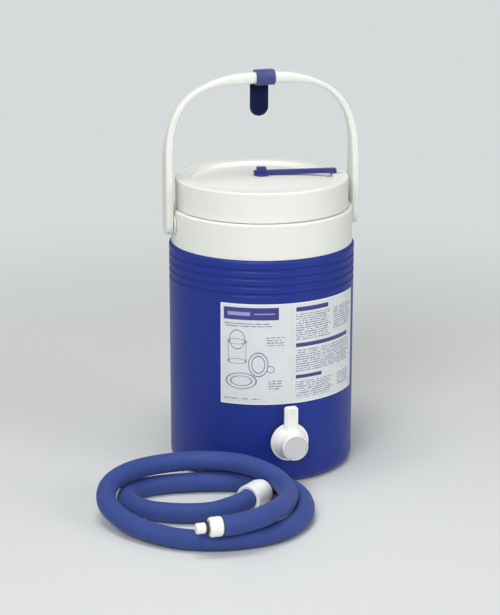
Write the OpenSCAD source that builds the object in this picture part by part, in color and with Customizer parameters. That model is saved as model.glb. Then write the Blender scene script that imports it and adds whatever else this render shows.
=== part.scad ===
// Gravity-fed hot and cold therapy cooler: a round insulated jug with a swinging carry handle, a screw-on
// lid with a lever-operated air vent, a quarter-turn outlet tap near the foot, and a detached foam-covered
// hose lying in a loose double loop on the floor in front of it.
// Millimetres. The origin is the jug's axis on the floor, +Z up, -Y the side with the outlet, +X along the
// handle's pivots.

/* [Jug] */
// Outer radius of the moulded shell
shell_r = 93; // [84:1:112]
// Height of the shell's top edge, where the collar sits
shell_h = 228.6; // [190:0.1:275]
// Thickness of the shell wall
shell_wall = 2.4; // [1.8:0.1:4]
// Radius of the rounded heel
heel_r = 10.6; // [8:0.1:14]
// Depth of the recess under the base
base_recess = 6; // [4:0.5:9]
// Number of grooves round the shell under the collar
groove_count = 4; // [2:1:6]
// Distance from one groove to the next
groove_pitch = 8; // [6:0.5:10]
// Depth of each groove
groove_depth = 1.1; // [0.6:0.1:1.6]
// Thickness of the insulation in the wall
foam_t = 14; // [10:0.5:20]
// Thickness of the insulation under the liner
foam_floor_t = 13; // [8:0.5:20]
// Thickness of the liner wall
liner_wall = 2.2; // [1.6:0.1:3.5]

/* [Collar] */
// Height of the collar above the shell
collar_h = 35.4; // [30:0.1:48]
// How far the collar's side stands back from the shell's
collar_step = 2; // [1:0.1:4]
// Depth of the lid's seat in the collar
seat_depth = 12; // [9:0.5:16]

/* [Lid] */
// Height of the lid's side
lid_h = 30; // [24:0.1:40]
// How far the lid's side stands back from the collar's
lid_step = 4.5; // [3:0.1:5.5]
// Width of the raised rim round the lid's top
rim_w = 16; // [12:0.1:20]
// Depth of the recess inside the rim
rim_depth = 3.5; // [2.5:0.1:4.5]
// How far the lid's middle rises above the recess
lid_crown = 3.3; // [1:0.1:3.4]
// Radius of the air vent
vent_r = 3.2; // [2.5:0.1:4.5]
// How far the lever's hinge stands outside the rim's inner edge
hinge_in = 3; // [2:0.1:4]
// Heading of the lever on the lid, in degrees
lever_turn = -7.5; // [-40:0.5:40]
// Width of the vent lever
lever_w = 5.8; // [4.5:0.1:8]

/* [Handle] */
// Height of the handle's pivots above the collar's lower edge
pivot_rise = 21.1; // [16:0.1:24]
// Height of the underside of the grip above the pivots
grip_rise = 136.2; // [120:0.5:170]
// Thickness of the arms
arm_t = 7.6; // [6:0.1:10]
// Depth of the arms from front to back, at the pivots
arm_depth = 20; // [16:0.5:24]
// Thickness of the grip
grip_t = 11.7; // [9:0.1:15]
// Depth of the grip from front to back
grip_depth = 13; // [10:0.5:18]
// Radius of the pivot pins
pivot_r = 4.5; // [3:0.1:6]
// Width of the hook-and-loop strap
strap_w = 19.5; // [15:0.5:28]
// How far the strap's tab hangs below the grip
strap_drop = 34; // [24:1:50]
// How far the strap's loop sits to the right of its tab
strap_shift = 2.2; // [-4:0.1:4]

/* [Outlet] */
// Height of the outlet's axis above the floor
outlet_z = 46; // [42:0.5:60]
// Radius of the outlet's flange
flange_r = 19.3; // [17:0.1:23]
// Radius of the stem through the wall
stem_r = 11; // [9.5:0.1:13]
// Radius of the tap's plug
plug_r = 8; // [7:0.1:9]
// Radius of the front of the tap
tap_r = 13; // [12.2:0.1:15]
// Height of the thumb tab above the outlet's axis
tab_rise = 37.6; // [30:0.1:46]
// Width of the thumb tab
tab_w = 13.5; // [11:0.5:18]

/* [Label] */
// Height of the label's lower edge
label_z = 84.5; // [70:0.5:100]
// Height of the label
label_h = 102; // [60:0.5:105]

/* [Hose] */
// Outside diameter of the foam cover
hose_d = 19; // [15:0.5:19.5]
// How far in front of the shell the loops' own origin lies
hose_stand = 7; // [5:0.5:60]

/* [Hidden] */
$fn = 96;
gap = 0.3;                 // seat clearance between pieces that don't move
run = 0.05;                // radial clearance of a running fit
wall_fn = 400;             // facets where a thin seal takes the curve of the wall
eps = 0.01;

// --- jug, from the outside in ---
shell_in = shell_r - shell_wall;
lip_t = shell_wall;                          // the shell's top edge turns in as a flat lip
foot_r = shell_r - heel_r;                   // outer edge of the flat foot ring
foot_in = foot_r - 20;                       // inner edge of the foot ring
recess_r = foot_in - base_recess * 0.7;      // the recess under the base has a sloping side
shoulder_r = 2.5;
shell_floor = base_recess + shell_wall;
liner_out = shell_in - foam_t - 2 * gap;
liner_in = liner_out - liner_wall;
liner_z = shell_floor + foam_floor_t + 2 * gap;
liner_heel = 7;
groove_top = shell_h - 9.6;
groove_r = 2.2;
plug_hole_r = 12;                            // the hole that the insulation is poured through

// --- collar ---
collar_r = shell_r - collar_step;
collar_z = shell_h + gap;
collar_top = shell_h + collar_h;
collar_bore = liner_out + gap;
seat_r = collar_r - 8;
seat_z = collar_top - seat_depth;
spigot_r = shell_in - 4.9;                   // the collar's lower tube, inside the shell's lip
spigot_h = 12.6;
lip_r = spigot_r + gap;                      // the opening in the shell's lip
collar_t = 2.5;

// --- handle pivots ---
pivot_z = collar_z + pivot_rise;
boss_r = 11;
arm_x = max(collar_r + 1.75, shell_r - 0.2); // inner face of the arms
pad_x = arm_x - gap;                         // outer face of the trunnions' pads
shank_r = 6;
shank_in = seat_r + gap + 1;
pin_len = arm_t * 0.66;

// --- lid ---
lid_r = collar_r - lid_step;
lid_z = collar_top + 2 * gap;
lid_top = collar_top + lid_h + gap;
lid_t = 2.8;
crown_r = 12;
lid_floor = lid_top - rim_depth;
rim_in = lid_r - rim_w;
lid_side = 2.4;
lid_in = lid_r - lid_side;
gasket_t = 1.4;
flange_t = liner_wall;
flange_top = seat_z + gap + flange_t;        // top of the liner's flange, which the gasket lies on
pan_z = flange_top + gasket_t + 2 * gap;
pan_r = seat_r - gap;
pan_wall = 2.2;
vent_wall = 2;
under_top = lid_floor - lid_t;               // underside of the lid shell's top plate

// --- vent lever ---
lever_t = 4.3;
crown_z = lid_floor + lid_crown;             // top of the lid's middle, where the vent opens
lever_z = crown_z + 0.7;                     // underside of the lever
lever_pin_r = 1.2;
hinge_z = lid_top - 2.5;
lever_reach = rim_in + hinge_in;            // from the vent to the hinge
eye_r = 2.1;
notch_w = lever_w + 1.2;
lever_tail = 8;                              // how far the lever runs past the vent
finger_l = 9.6;
finger_h = 3.6;
notch_out = lever_z + lever_t - hinge_z + 1.2;  // the slot runs this far past the hinge, for the top corner

// --- outlet, lengths along -Y ---
wall_y = shell_r;                            // the shell's surface at the outlet
flange_y = wall_y + 2.6;                     // back of the flange; the saddle gasket fills in behind it
flange_th = 2.8;
tap_back = flange_y + flange_th + gap;
knob_r = flange_r - 2;
knob_end = tap_back + 7.8;                   // where the knob's taper meets its front
tap_front = tap_back + 17.8;
tap_rim = 1.2;
socket_r = tap_r - tap_rim;                  // the mouth that the hose's end plugs into
socket_depth = 8;
bore_r = plug_r - 2.8;
nut_y = liner_in - 3.3;                      // outer face of the locknut
nut_t = 6;
stem_end = nut_y - nut_t - 2.7;
end_wall = 4;
port_r = plug_r * 0.235;
port_off = plug_r * 0.4;                     // the valve's ports lie off the axis, a quarter turn apart
nut_r = 18;
tab_t = 4.5;
tab_y = tap_back + 0.2;
ring_y = (wall_y + liner_in) / 2;            // the O-ring runs inside the wall
ring_r = 0.75;

// --- hose fittings ---
hose_r = hose_d / 2;
hose_home = [0, -shell_r - hose_stand, 0];   // the loops' own origin, on the floor
sleeve_r = 13;
sleeve_l = 20.5;
sleeve_turn = 40;                            // heading of the sleeve, seen from above
sleeve_at = hose_home + [-59, -51, 13.1];    // centre of the sleeve's mouth
sleeve_cup = 3;                              // the hose ends this deep in the sleeve
hose_spigot_r = socket_r - 0.3;
hose_spigot_l = 5;
coupler_at = hose_home + [-110.2, -143, 27.9];  // centre of the coupler's back, which the hose butts on
coupler_r = 9.2;
coupler_l = 13;
nipple_r = 5;
nipple_l = 8.2;
neck_r = 3.8;
neck_l = 3.8;                                // from the coupler's front to the nipple
neck_seat = 4;                               // how deep the neck stands in the coupler
water_r = 2;                                 // the water's way through the neck
hose_bore_r = 4;
seal_r = 1.2;

// Route of the hose's centreline from the sleeve to the coupler: one loop on the floor, then up the left
// side, over the first loop and down on its inside, and across the front run to the coupler.
sleeve_way = [cos(sleeve_turn), sin(sleeve_turn), 0];
coupler_way = [-1, 0, 0];
loop_points = [
    [-78, -62, 12],
    [-97, -65, 10],
    [-116, -63, 9.7],
    [-138, -55, 9.7],
    [-156.5, -42, 9.7],
    [-167.5, -22, 9.7],
    [-167, -5, 9.7],
    [-158.5, 8, 9.7],
    [-146, 14.5, 9.7],
    [-129, 17, 9.7],
    [-108, 16, 9.7],
    [-75, 10, 9.7],
    [-43, -1, 9.7],
    [-17, -16, 9.7],
    [-6.5, -43, 9.7],
    [-11, -79, 9.7],
    [-28.5, -110, 9.7],
    [-59, -131, 9.7],
    [-104, -134, 9.7],
    [-146, -117, 9.8],
    [-177, -83, 11.5],
    [-191, -50, 16],
    [-192, -28, 21],
    [-182, -6, 26],
    [-160, 10, 29.6],
    [-128, 21, 29.6],
    [-89, 20, 29.6],
    [-54, 3, 29.6],
    [-33, -21, 27.2],
    [-23.5, -45, 23.6],
    [-26, -74, 22.2],
    [-42, -107, 26],
    [-66, -133, 29.6],
    [-84, -141, 29.2]
];
hose_route = concat(
    [
        sleeve_at + (sleeve_cup - gap) * sleeve_way,
        sleeve_at - 3 * sleeve_way,
        sleeve_at - 9 * sleeve_way
    ],
    [for (p = loop_points) hose_home + p],
    [
        coupler_at - 10 * coupler_way,
        coupler_at - 4 * coupler_way,
        coupler_at - gap * coupler_way
    ]
);
hose_sides = 12;
hose_split = 2;            // rings to each stretch between two route points
gap_split = 12;            // points to each stretch where the gap between the turns is measured
gap_apart = 70;            // points nearer than this along the hose belong to the same bend

// ---------- shared shapes ----------

// Half-section from the axis out to radius r, its two outer corners rounded
module column_2d(r, z0, z1, r_low, r_high) {
    translate([0, z0 + r_low]) square([r, z1 - z0 - r_low - r_high]);
    translate([0, z0]) square([r - r_low, r_low + eps]);
    translate([0, z1 - r_high - eps]) square([r - r_high, r_high + eps]);
    translate([r - r_low, z0 + r_low]) circle(r_low);
    translate([r - r_high, z1 - r_high]) circle(r_high);
}

// Half-section as above with a square lower corner and a rounded upper one
module round_end(r, z0, z1, r_high) {
    translate([0, z0]) square([r, z1 - z0 - r_high]);
    translate([0, z0]) square([r - r_high, z1 - z0]);
    translate([r - r_high, z1 - r_high]) circle(r_high);
}

// Rectangle from [x0, y0] to [x1, y1] with corners of radius r
module soft_rect(x0, y0, x1, y1, r) {
    translate([x0 + r, y0]) square([x1 - x0 - 2 * r, y1 - y0]);
    translate([x0, y0 + r]) square([x1 - x0, y1 - y0 - 2 * r]);
    for (x = [x0 + r, x1 - r], y = [y0 + r, y1 - r]) translate([x, y]) circle(r);
}

// Plain tube between two heights
module tube(r_out, r_in, z0, z1) {
    translate([0, 0, z0]) difference() {
        cylinder(r = r_out, h = z1 - z0);
        translate([0, 0, -1]) cylinder(r = r_in, h = z1 - z0 + 2);
    }
}

// Stands children, drawn along +Z, on the outlet's axis so that +Z runs out along -Y
module on_outlet() {
    translate([0, 0, outlet_z]) rotate([90, 0, 0]) children();
}

// Point at angle t of a superellipse with half axes a and b and exponent n
function squircle(a, b, n, t) = [
    a * sign(cos(t)) * pow(abs(cos(t)), 2 / n),
    b * sign(sin(t)) * pow(abs(sin(t)), 2 / n)
];

// Closed skin over rings of points, each ring with the same number of points
module skin(rings) {
    m = len(rings[0]);
    k = len(rings);
    points = [for (ring = rings) each ring];
    sides = [
        for (i = [0:k - 2], j = [0:m - 1])
            let (a = i * m + j, b = i * m + (j + 1) % m, c = a + m, d = b + m)
            each [[a, c, b], [b, c, d]]
    ];
    caps = [[for (j = [0:m - 1]) j], [for (j = [m - 1:-1:0]) (k - 1) * m + j]];
    polyhedron(points = points, faces = concat(sides, caps), convexity = 10);
}

// ---------- jug ----------

module shell_outline() {
    difference() {
        column_2d(shell_r, 0, shell_h, heel_r, shoulder_r);
        polygon([[0, -1], [foot_in, -1], [foot_in, 0], [recess_r, base_recess], [0, base_recess]]);
        for (i = [0:groove_count - 1])
            translate([shell_r + groove_r - groove_depth, groove_top - i * groove_pitch]) circle(groove_r);
    }
}

module shell_cavity() {
    difference() {
        column_2d(shell_in, shell_wall, shell_h - lip_t, heel_r - shell_wall, 1);
        polygon([
            [0, 0], [foot_in + 1, 0], [foot_in + 1, shell_wall],
            [recess_r + 1, shell_floor], [0, shell_floor]
        ]);
    }
}

module outer_shell() {
    color("#1f2fb4") difference() {
        rotate_extrude() difference() {
            shell_outline();
            shell_cavity();
            translate([0, shell_h - lip_t - 1]) square([lip_r, lip_t + 2]);
            translate([0, base_recess - 1]) square([plug_hole_r, shell_wall + 2]);
        }
        on_outlet() cylinder(r = stem_r + gap, h = shell_r + 5);
    }
}

module foam_core() {
    cavity_top = seat_z - collar_t - gap;
    shelf_z = collar_z + collar_t + gap;
    color("#efe3b5") difference() {
        rotate_extrude() difference() {
            union() {
                // the part inside the shell
                column_2d(shell_in - gap, shell_wall + gap, shell_h - lip_t - gap, heel_r - shell_wall, 1);
                // the part that fills the hollow collar
                translate([0, shell_h - 10]) square([spigot_r - collar_t - gap, shelf_z - shell_h + 11]);
                translate([0, shelf_z]) square([collar_r - collar_t - gap, cavity_top - shelf_z]);
            }
            polygon([
                [0, 0], [foot_in + 1 + gap, 0], [foot_in + 1 + gap, shell_wall + gap],
                [recess_r + 1 + gap, shell_floor + gap], [0, shell_floor + gap]
            ]);
            // the liner's place
            column_2d(liner_out + gap, liner_z - gap, seat_z + 20, liner_heel, 1);
            // the collar's spigot and inner tube
            z0 = collar_z - spigot_h - gap;
            translate([spigot_r - collar_t - gap, z0]) square([collar_t + 2 * gap, shelf_z - z0]);
            translate([0, z0]) square([collar_bore + collar_t + gap, seat_z - z0]);
            // the pocket over the base plug's stem
            square([plug_hole_r, shell_floor + 4 + gap]);
        }
        on_outlet() cylinder(r = stem_r + gap, h = shell_r + 5);
        for (s = [-1, 1])
            translate([s * (shank_in + 10), 0, pivot_z]) rotate([0, 90, 0])
                cylinder(r = shank_r + 2 + gap, h = 22, center = true);
    }
}

module inner_liner() {
    color("#f4f4f0") difference() {
        rotate_extrude() difference() {
            union() {
                column_2d(liner_out, liner_z, seat_z + gap + 2 * eps, liner_heel, eps);
                translate([0, seat_z + gap]) square([seat_r - gap, flange_t]);
            }
            column_2d(liner_in, liner_z + liner_wall, flange_top + 5, liner_heel - liner_wall, 1);
        }
        on_outlet() cylinder(r = stem_r + gap, h = shell_r + 5);
    }
}

module base_plug() {
    color("#1f2fb4") {
        translate([0, 0, base_recess - gap - 1.4]) cylinder(r = plug_hole_r + 4, h = 1.4);
        difference() {
            translate([0, 0, base_recess - gap - 1]) cylinder(r = plug_hole_r - gap, h = shell_wall + 4.6);
            translate([0, 0, base_recess + 1]) cylinder(r = plug_hole_r - 2.5, h = 20);
        }
    }
}

module collar() {
    z0 = collar_z - spigot_h;
    shelf_z = collar_z + collar_t;
    color("#f3f0e6") difference() {
        rotate_extrude() difference() {
            union() {
                column_2d(collar_r, collar_z, collar_top, 0.8, 1.6);
                translate([0, z0]) square([spigot_r, spigot_h + 1]);
            }
            // bore for the liner, and the wider seat for the lid
            translate([0, z0 - 1]) square([collar_bore, 200]);
            translate([0, seat_z]) square([seat_r, 100]);
            // hollow, open downwards, filled by the insulation
            translate([collar_bore + collar_t, z0 - 1])
                square([spigot_r - collar_t - collar_bore - collar_t, shelf_z - z0 + 1 + eps]);
            translate([collar_bore + collar_t, shelf_z])
                square([collar_r - collar_bore - 2 * collar_t, seat_z - collar_t - shelf_z]);
        }
        // holes for the trunnions' shanks
        for (s = [0, 1]) mirror([s, 0, 0]) translate([shank_in - gap, 0, pivot_z]) rotate([0, 90, 0])
            cylinder(r = shank_r + 2 * run, h = 20);
    }
}

// Pad, shank and pin that carry one arm of the handle, on the +X side
module trunnion() {
    color("#f3f0e6") translate([0, 0, pivot_z]) rotate([0, 90, 0]) {
        translate([0, 0, collar_r + 0.2]) cylinder(r = boss_r, h = pad_x - collar_r - 0.2);
        translate([0, 0, shank_in]) cylinder(r = shank_r, h = pad_x - shank_in);
        translate([0, 0, shank_in]) cylinder(r = pivot_r, h = arm_x + pin_len - shank_in);
    }
}

module trunnion_right() { trunnion(); }

module trunnion_left() { mirror([1, 0, 0]) trunnion(); }

// Printed skin on the front of the shell
module front_label() {
    left = 42;
    right = 56;
    color("#e9e9e2") translate([0, 0, label_z]) rotate([0, 0, -90 - left]) rotate_extrude(angle = left + right)
        translate([shell_r + 0.2, 0]) square([0.3, label_h]);
}

// ---------- handle ----------

arch_z = pivot_z + 50;                        // where the straight arms turn into the arch
arch_a = arm_x + arm_t / 2;                   // half width of the arch's centreline
arch_b = pivot_z + grip_rise + grip_t / 2 - arch_z;
arch_n = 3;                                   // how square the arch is
arch_steps = 44;
handle_sides = 20;
grip_z = pivot_z + grip_rise + grip_t / 2;    // middle of the grip
strap_t = 1.2;
slack = 0.35;                                 // between the strap and the grip

// The bail's centreline at angle t from the right shoulder to the left one
function arch_at(t) = [
    arch_a * sign(cos(t)) * pow(abs(cos(t)), 2 / arch_n),
    arch_z + arch_b * pow(sin(t), 2 / arch_n)
];

// Thickness and depth of the bail along the arch: slim shoulders, full grip
function bail_t(x) = lookup(abs(x) / arch_a, [
    [0, grip_t], [0.3, grip_t * 0.92], [0.62, arm_t * 0.74], [0.88, arm_t * 0.88], [1, arm_t]
]);
function bail_d(z) = lookup((z - arch_z) / arch_b, [
    [0, arm_depth * 0.95], [0.2, arm_depth * 0.82], [0.45, arm_depth * 0.6], [0.8, arm_depth * 0.43],
    [0.93, arm_depth * 0.45], [1, grip_depth]
]);

// How square the bail's section is: flat-sided arms, rounder grip
function bail_n(z) = lookup((z - arch_z) / arch_b, [[0, 5], [0.6, 3.6], [1, 2.8]]);

// Ring of the bail's section round a point of the centreline, square to it
function bail_ring(p, dir, t, d) = [
    for (j = [0:handle_sides - 1])
        let (q = squircle(t / 2, d / 2, bail_n(p[1]), 360 * j / handle_sides), n = [dir[1], -dir[0]])
        [p[0] + n[0] * q[0], q[1], p[1] + n[1] * q[0]]
];

// Evenly spread angles along the arch: closer together where it turns
function arch_angle(i) = let (u = i / arch_steps) 180 * (u - 0.28 * sin(720 * u) / (4 * PI));

module bail_loft() {
    ends = [arch_z - 42, arch_z - 14];
    right = [for (z = ends) bail_ring([arch_a, z], [0, 1], arm_t - 0.02, bail_d(arch_z) * 1.04)];
    left = [for (z = [ends[1], ends[0]]) bail_ring([-arch_a, z], [0, -1], arm_t - 0.02, bail_d(arch_z) * 1.04)];
    arch = [
        for (i = [0:arch_steps])
            let (
                t = arch_angle(i), p = arch_at(t),
                a = arch_at(max(t - 0.5, 0)), b = arch_at(min(t + 0.5, 180)),
                dir = (b - a) / norm(b - a)
            )
            bail_ring(p, dir, bail_t(p[0]), bail_d(p[1]))
    ];
    skin(concat(right, arch, left));
}

// Lower end of one arm: a flat paddle with a round end, bored from inside for the pivot pin
module arm_paddle() {
    translate([arm_x, 0, pivot_z]) rotate([0, 90, 0]) {
        cylinder(r = arm_depth / 2, h = arm_t);
        translate([-16, -arm_depth / 2, 0]) cube([16, arm_depth, arm_t]);
    }
}

module handle() {
    color("#f3f0e6") difference() {
        union() {
            bail_loft();
            for (s = [0, 1]) mirror([s, 0, 0]) arm_paddle();
        }
        for (s = [0, 1]) mirror([s, 0, 0])
            translate([arm_x - 1, 0, pivot_z]) rotate([0, 90, 0])
                cylinder(r = pivot_r + run, h = pin_len + 1.5);
    }
}

// Hook-and-loop strap: one turn round the grip
module handle_strap() {
    hole_y = grip_depth / 2 + slack;
    hole_z = grip_t / 2 + slack;
    loop = [for (j = [0:35]) squircle(hole_y + strap_t, hole_z + strap_t, 2.8, 10 * j)];
    hole = [for (j = [0:35]) squircle(hole_y, hole_z, 2.8, 10 * j)];
    color("#3b3a86") translate([strap_shift - strap_w / 2, 0, grip_z]) rotate([90, 0, 90])
        linear_extrude(strap_w) difference() {
            polygon(loop);
            polygon(hole);
        }
}

// The strap's free tab, which hangs behind the grip and swings about the grip's middle
module strap_tab() {
    swing_r = norm([grip_depth / 2 + slack + strap_t, grip_t / 2 + slack + strap_t]) * 0.79 + gap;
    tab_end = grip_z - grip_t / 2 - strap_drop;
    color("#3b3a86") translate([0, swing_r, 0]) rotate([-90, 0, 0]) linear_extrude(strap_t) {
        translate([0, -tab_end - strap_w / 2]) circle(strap_w / 2);
        translate([-strap_w / 2, -grip_z - 3]) square([strap_w, grip_z + 3 - tab_end - strap_w / 2]);
    }
}

// ---------- lid ----------

module lid_shell() {
    color("#f6f3ea") difference() {
        rotate_extrude() difference() {
            column_2d(lid_r, lid_z, lid_top, 0.8, 1.8);
            // recess inside the rim, its floor rising to a flat crown round the vent
            polygon(concat(
                [[0, crown_z]],
                [
                    for (u = [0:0.2:1])
                        [crown_r + (rim_in - 2 - crown_r) * u, lid_floor + lid_crown * (1 - u * u)]
                ],
                [
                    [rim_in, lid_floor], [rim_in + 0.5, lid_top - 0.9], [rim_in + 1.4, lid_top],
                    [rim_in + 1.4, lid_top + 1], [0, lid_top + 1]
                ]
            ));
            // hollow for the pan and the insulation
            translate([0, lid_z - 1]) square([lid_in, under_top - lid_z + 1]);
            // hole for the vent tube
            square([vent_r + vent_wall + gap, lid_top + 10]);
        }
        // slot in the rim for the lever's hinge end, and the hole for its pin
        on_lever() {
            translate([rim_in - 6, -notch_w / 2, hinge_z - eye_r - gap])
                cube([lever_reach + notch_out - rim_in + 6, notch_w, 20]);
            translate([lever_reach, 0, hinge_z]) rotate([90, 0, 0])
                cylinder(r = lever_pin_r + run, h = notch_w + 8, center = true);
        }
    }
}

module lid_foam() {
    ledge = lid_z + gap + pan_wall;
    color("#efe3b5") rotate_extrude() difference() {
        union() {
            translate([0, pan_z + pan_wall + gap])
                square([pan_r - pan_wall - gap, under_top - gap - pan_z - pan_wall - gap]);
            translate([0, ledge + gap]) square([lid_in - gap, under_top - 2 * gap - ledge]);
        }
        square([vent_r + vent_wall + gap, lid_top]);
    }
}

// Pan that closes the lid's underside and drops into the collar; its middle tube is the air vent
module lid_pan() {
    ledge = lid_z + gap;
    color("#f4f4f0") rotate_extrude() difference() {
        union() {
            column_2d(pan_r, pan_z, ledge + pan_wall, 1, 0.1);
            translate([0, ledge]) square([lid_in - gap, pan_wall]);
            translate([0, pan_z]) square([vent_r + vent_wall, crown_z - gap - pan_z]);
        }
        difference() {
            translate([0, pan_z + pan_wall]) square([pan_r - pan_wall, lid_top]);
            square([vent_r + vent_wall, lid_top]);
        }
        square([vent_r, lid_top]);
    }
}

module lid_gasket() {
    color("#3a3a3a") tube(pan_r - 0.4, liner_out, flange_top + gap, flange_top + gap + gasket_t);
}

// Places what is drawn along +X in the lever's heading on the lid
module on_lever() {
    rotate([0, 0, lever_turn]) children();
}

// Lever from the vent to its hinge in the rim, with a raised finger block over the vent
module vent_lever() {
    color("#3038a8") on_lever() difference() {
        union() {
            translate([0, lever_w / 2, 0]) rotate([90, 0, 0]) linear_extrude(lever_w) {
                soft_rect(-lever_tail, lever_z, lever_reach + eye_r, lever_z + lever_t, 1);
                // knuckle that reaches down into the rim's slot
                translate([lever_reach - eye_r, hinge_z]) square([2 * eye_r, lever_z + 2 - hinge_z]);
                translate([lever_reach, hinge_z]) circle(eye_r);
                translate([-0.4, 0])
                    soft_rect(-finger_l / 2, lever_z + 1, finger_l / 2, lever_z + lever_t + finger_h, 1.2);
            }
            // wider pad under the finger block
            translate([0, 0, lever_z]) cylinder(r = lever_tail, h = 2.2);
        }
        translate([lever_reach, 0, hinge_z]) rotate([90, 0, 0])
            cylinder(r = lever_pin_r + run, h = lever_w + 2, center = true);
    }
}

module vent_stopper() {
    color("#3a3a3a") {
        translate([0, 0, crown_z]) cylinder(r = vent_r + 1.4, h = lever_z - crown_z);
        translate([0, 0, crown_z - 4]) cylinder(r1 = vent_r - 0.9, r2 = vent_r - 0.5, h = 4 + eps);
    }
}

module vent_pin() {
    color("#c9ccd0") on_lever() translate([lever_reach, 0, hinge_z]) rotate([90, 0, 0])
        cylinder(r = lever_pin_r, h = notch_w + 7, center = true);
}

// ---------- outlet ----------

module outlet_body() {
    color("#f3f0e6") on_outlet() difference() {
        union() {
            rotate_extrude() round_end(flange_r, flange_y, flange_y + flange_th, 1.2);
            translate([0, 0, stem_end]) cylinder(r = stem_r, h = flange_y + 1 - stem_end);
        }
        translate([0, 0, stem_end + end_wall]) cylinder(r = plug_r + run, h = flange_y);
        translate([-port_off, 0, stem_end - 1]) cylinder(r = port_r, h = end_wall + 2);
    }
}

module outlet_gasket() {
    color("#3a3a3a") difference() {
        on_outlet() translate([0, 0, shell_r - 4])
            cylinder(r = flange_r - 0.8, h = flange_y - gap - shell_r + 4);
        cylinder(r = shell_r + gap, h = 2 * outlet_z, $fn = wall_fn);
        on_outlet() cylinder(r = stem_r + gap, h = shell_r + 20);
    }
}

module outlet_washer() {
    color("#3a3a3a") difference() {
        intersection() {
            on_outlet() translate([0, 0, nut_y + gap]) cylinder(r = nut_r - 2, h = 8);
            cylinder(r = liner_in - gap, h = 2 * outlet_z, $fn = wall_fn);
        }
        on_outlet() cylinder(r = stem_r + gap, h = shell_r + 20);
    }
}

module outlet_locknut() {
    color("#f3f0e6") on_outlet() difference() {
        union() {
            translate([0, 0, nut_y - 1.6]) cylinder(r = nut_r, h = 1.6);
            translate([0, 0, nut_y - nut_t]) cylinder(r = nut_r - 1, h = nut_t - 1, $fn = 6);
        }
        cylinder(r = stem_r + run * 3, h = shell_r);
    }
}

// One moulding: a hollow plug that turns in the body, a tapered knob, and the thumb tab
module outlet_tap() {
    color("#f6f3ea") on_outlet() difference() {
        union() {
            translate([0, 0, tap_back]) cylinder(r1 = knob_r, r2 = tap_r, h = knob_end - tap_back);
            rotate_extrude() round_end(tap_r, tap_back + 1, tap_front, 1);
            translate([0, 0, stem_end + end_wall + gap])
                cylinder(r = plug_r, h = tap_back + 2 - stem_end - end_wall);
            // thumb tab: a plate with a raised frame on its front
            translate([0, 0, tab_y]) linear_extrude(tab_t - 1.2) tab_outline(tab_w, tab_rise);
            translate([0, 0, tab_y]) linear_extrude(tab_t) difference() {
                tab_outline(tab_w - 4.5, tab_rise - 1);
                translate([-(tab_w - 8.5) / 2, 14]) square([tab_w - 8.5, tab_rise - 17]);
            }
        }
        // water way, the mouth for the hose's end, the valve port and the O-ring's groove
        translate([0, 0, stem_end + end_wall + gap + 2.8]) cylinder(r = bore_r, h = tap_front);
        translate([0, 0, tap_front - socket_depth]) cylinder(r = socket_r, h = socket_depth + 1);
        translate([0, -port_off, stem_end]) cylinder(r = port_r, h = 12);
        tube(plug_r + 1, plug_r - 2 * ring_r - run, ring_y - 1.3, ring_y + 1.3);
    }
}

module tab_outline(w, rise) {
    r = 3;
    translate([-w / 2, 0]) square([w, rise - r]);
    translate([-w / 2 + r, 0]) square([w - 2 * r, rise]);
    for (x = [-w / 2 + r, w / 2 - r]) translate([x, rise - r]) circle(r);
}

module tap_ring() {
    color("#3a3a3a") on_outlet() translate([0, 0, ring_y]) rotate_extrude()
        translate([plug_r - ring_r, 0]) circle(ring_r);
}

// Stopper that closes the tap's mouth while the hose is off
module outlet_stopper() {
    front = tap_front - 0.5;
    color("#e4e0d4") on_outlet() {
        rotate_extrude() round_end(socket_r - 0.15, front - 3, front, 0.7);
        translate([0, 0, tap_front - socket_depth + gap]) cylinder(r = socket_r - 2.4, h = socket_depth - 2);
        translate([0, 0, tap_front - socket_depth - 3]) cylinder(r = bore_r - 0.15, h = 6);
    }
}

// ---------- hose ----------

// Ring of the tube at route point i, square to the route there
function tube_ring(route, i, r, sides) =
    let (
        a = route[max(i - 1, 0)], b = route[min(i + 1, len(route) - 1)],
        d = (b - a) / norm(b - a), side = cross(d, [0, 0, 1]) / norm(cross(d, [0, 0, 1])), up = cross(side, d)
    )
    [for (j = [0:sides - 1]) let (t = 360 * j / sides) route[i] + r * cos(t) * side + r * sin(t) * up];

// The route made smooth: a curve through its points, split evenly between each two of them
function smooth(route, split) = [
    for (i = [0:len(route) - 2], k = [0:split - 1])
        let (
            u = k / split, p = route[max(i - 1, 0)], q = route[i], r = route[i + 1],
            s = route[min(i + 2, len(route) - 1)]
        )
        (2 * q + (r - p) * u + (2 * p - 5 * q + 4 * r - s) * u * u + (3 * q - p - 3 * r + s) * u * u * u) / 2,
    route[len(route) - 1]
];

// Least gap between a tube's own turns, from points of its line that lie far enough apart along it
function own_gap(line, r, apart) =
    let (
        n = len(line),
        along = [for (i = 0, t = 0; i < n; t = t + norm(line[min(i + 1, n - 1)] - line[i]), i = i + 1) t]
    )
    min([
        for (i = [0:n - 2], j = [i + 1:n - 1])
            if (along[j] - along[i] > apart) norm(line[i] - line[j])
    ]) - 2 * r;

module hose_tube() {
    route = smooth(hose_route, hose_split);
    color("#4a52c0") skin([for (i = [0:len(route) - 1]) tube_ring(route, i, hose_r, hose_sides)]);
}

// Stands children, drawn along +Z, on the sleeve's axis with +Z pointing out of the hose
module on_sleeve() {
    translate(sleeve_at) rotate([0, 0, sleeve_turn]) rotate([0, 90, 0]) children();
}

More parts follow.
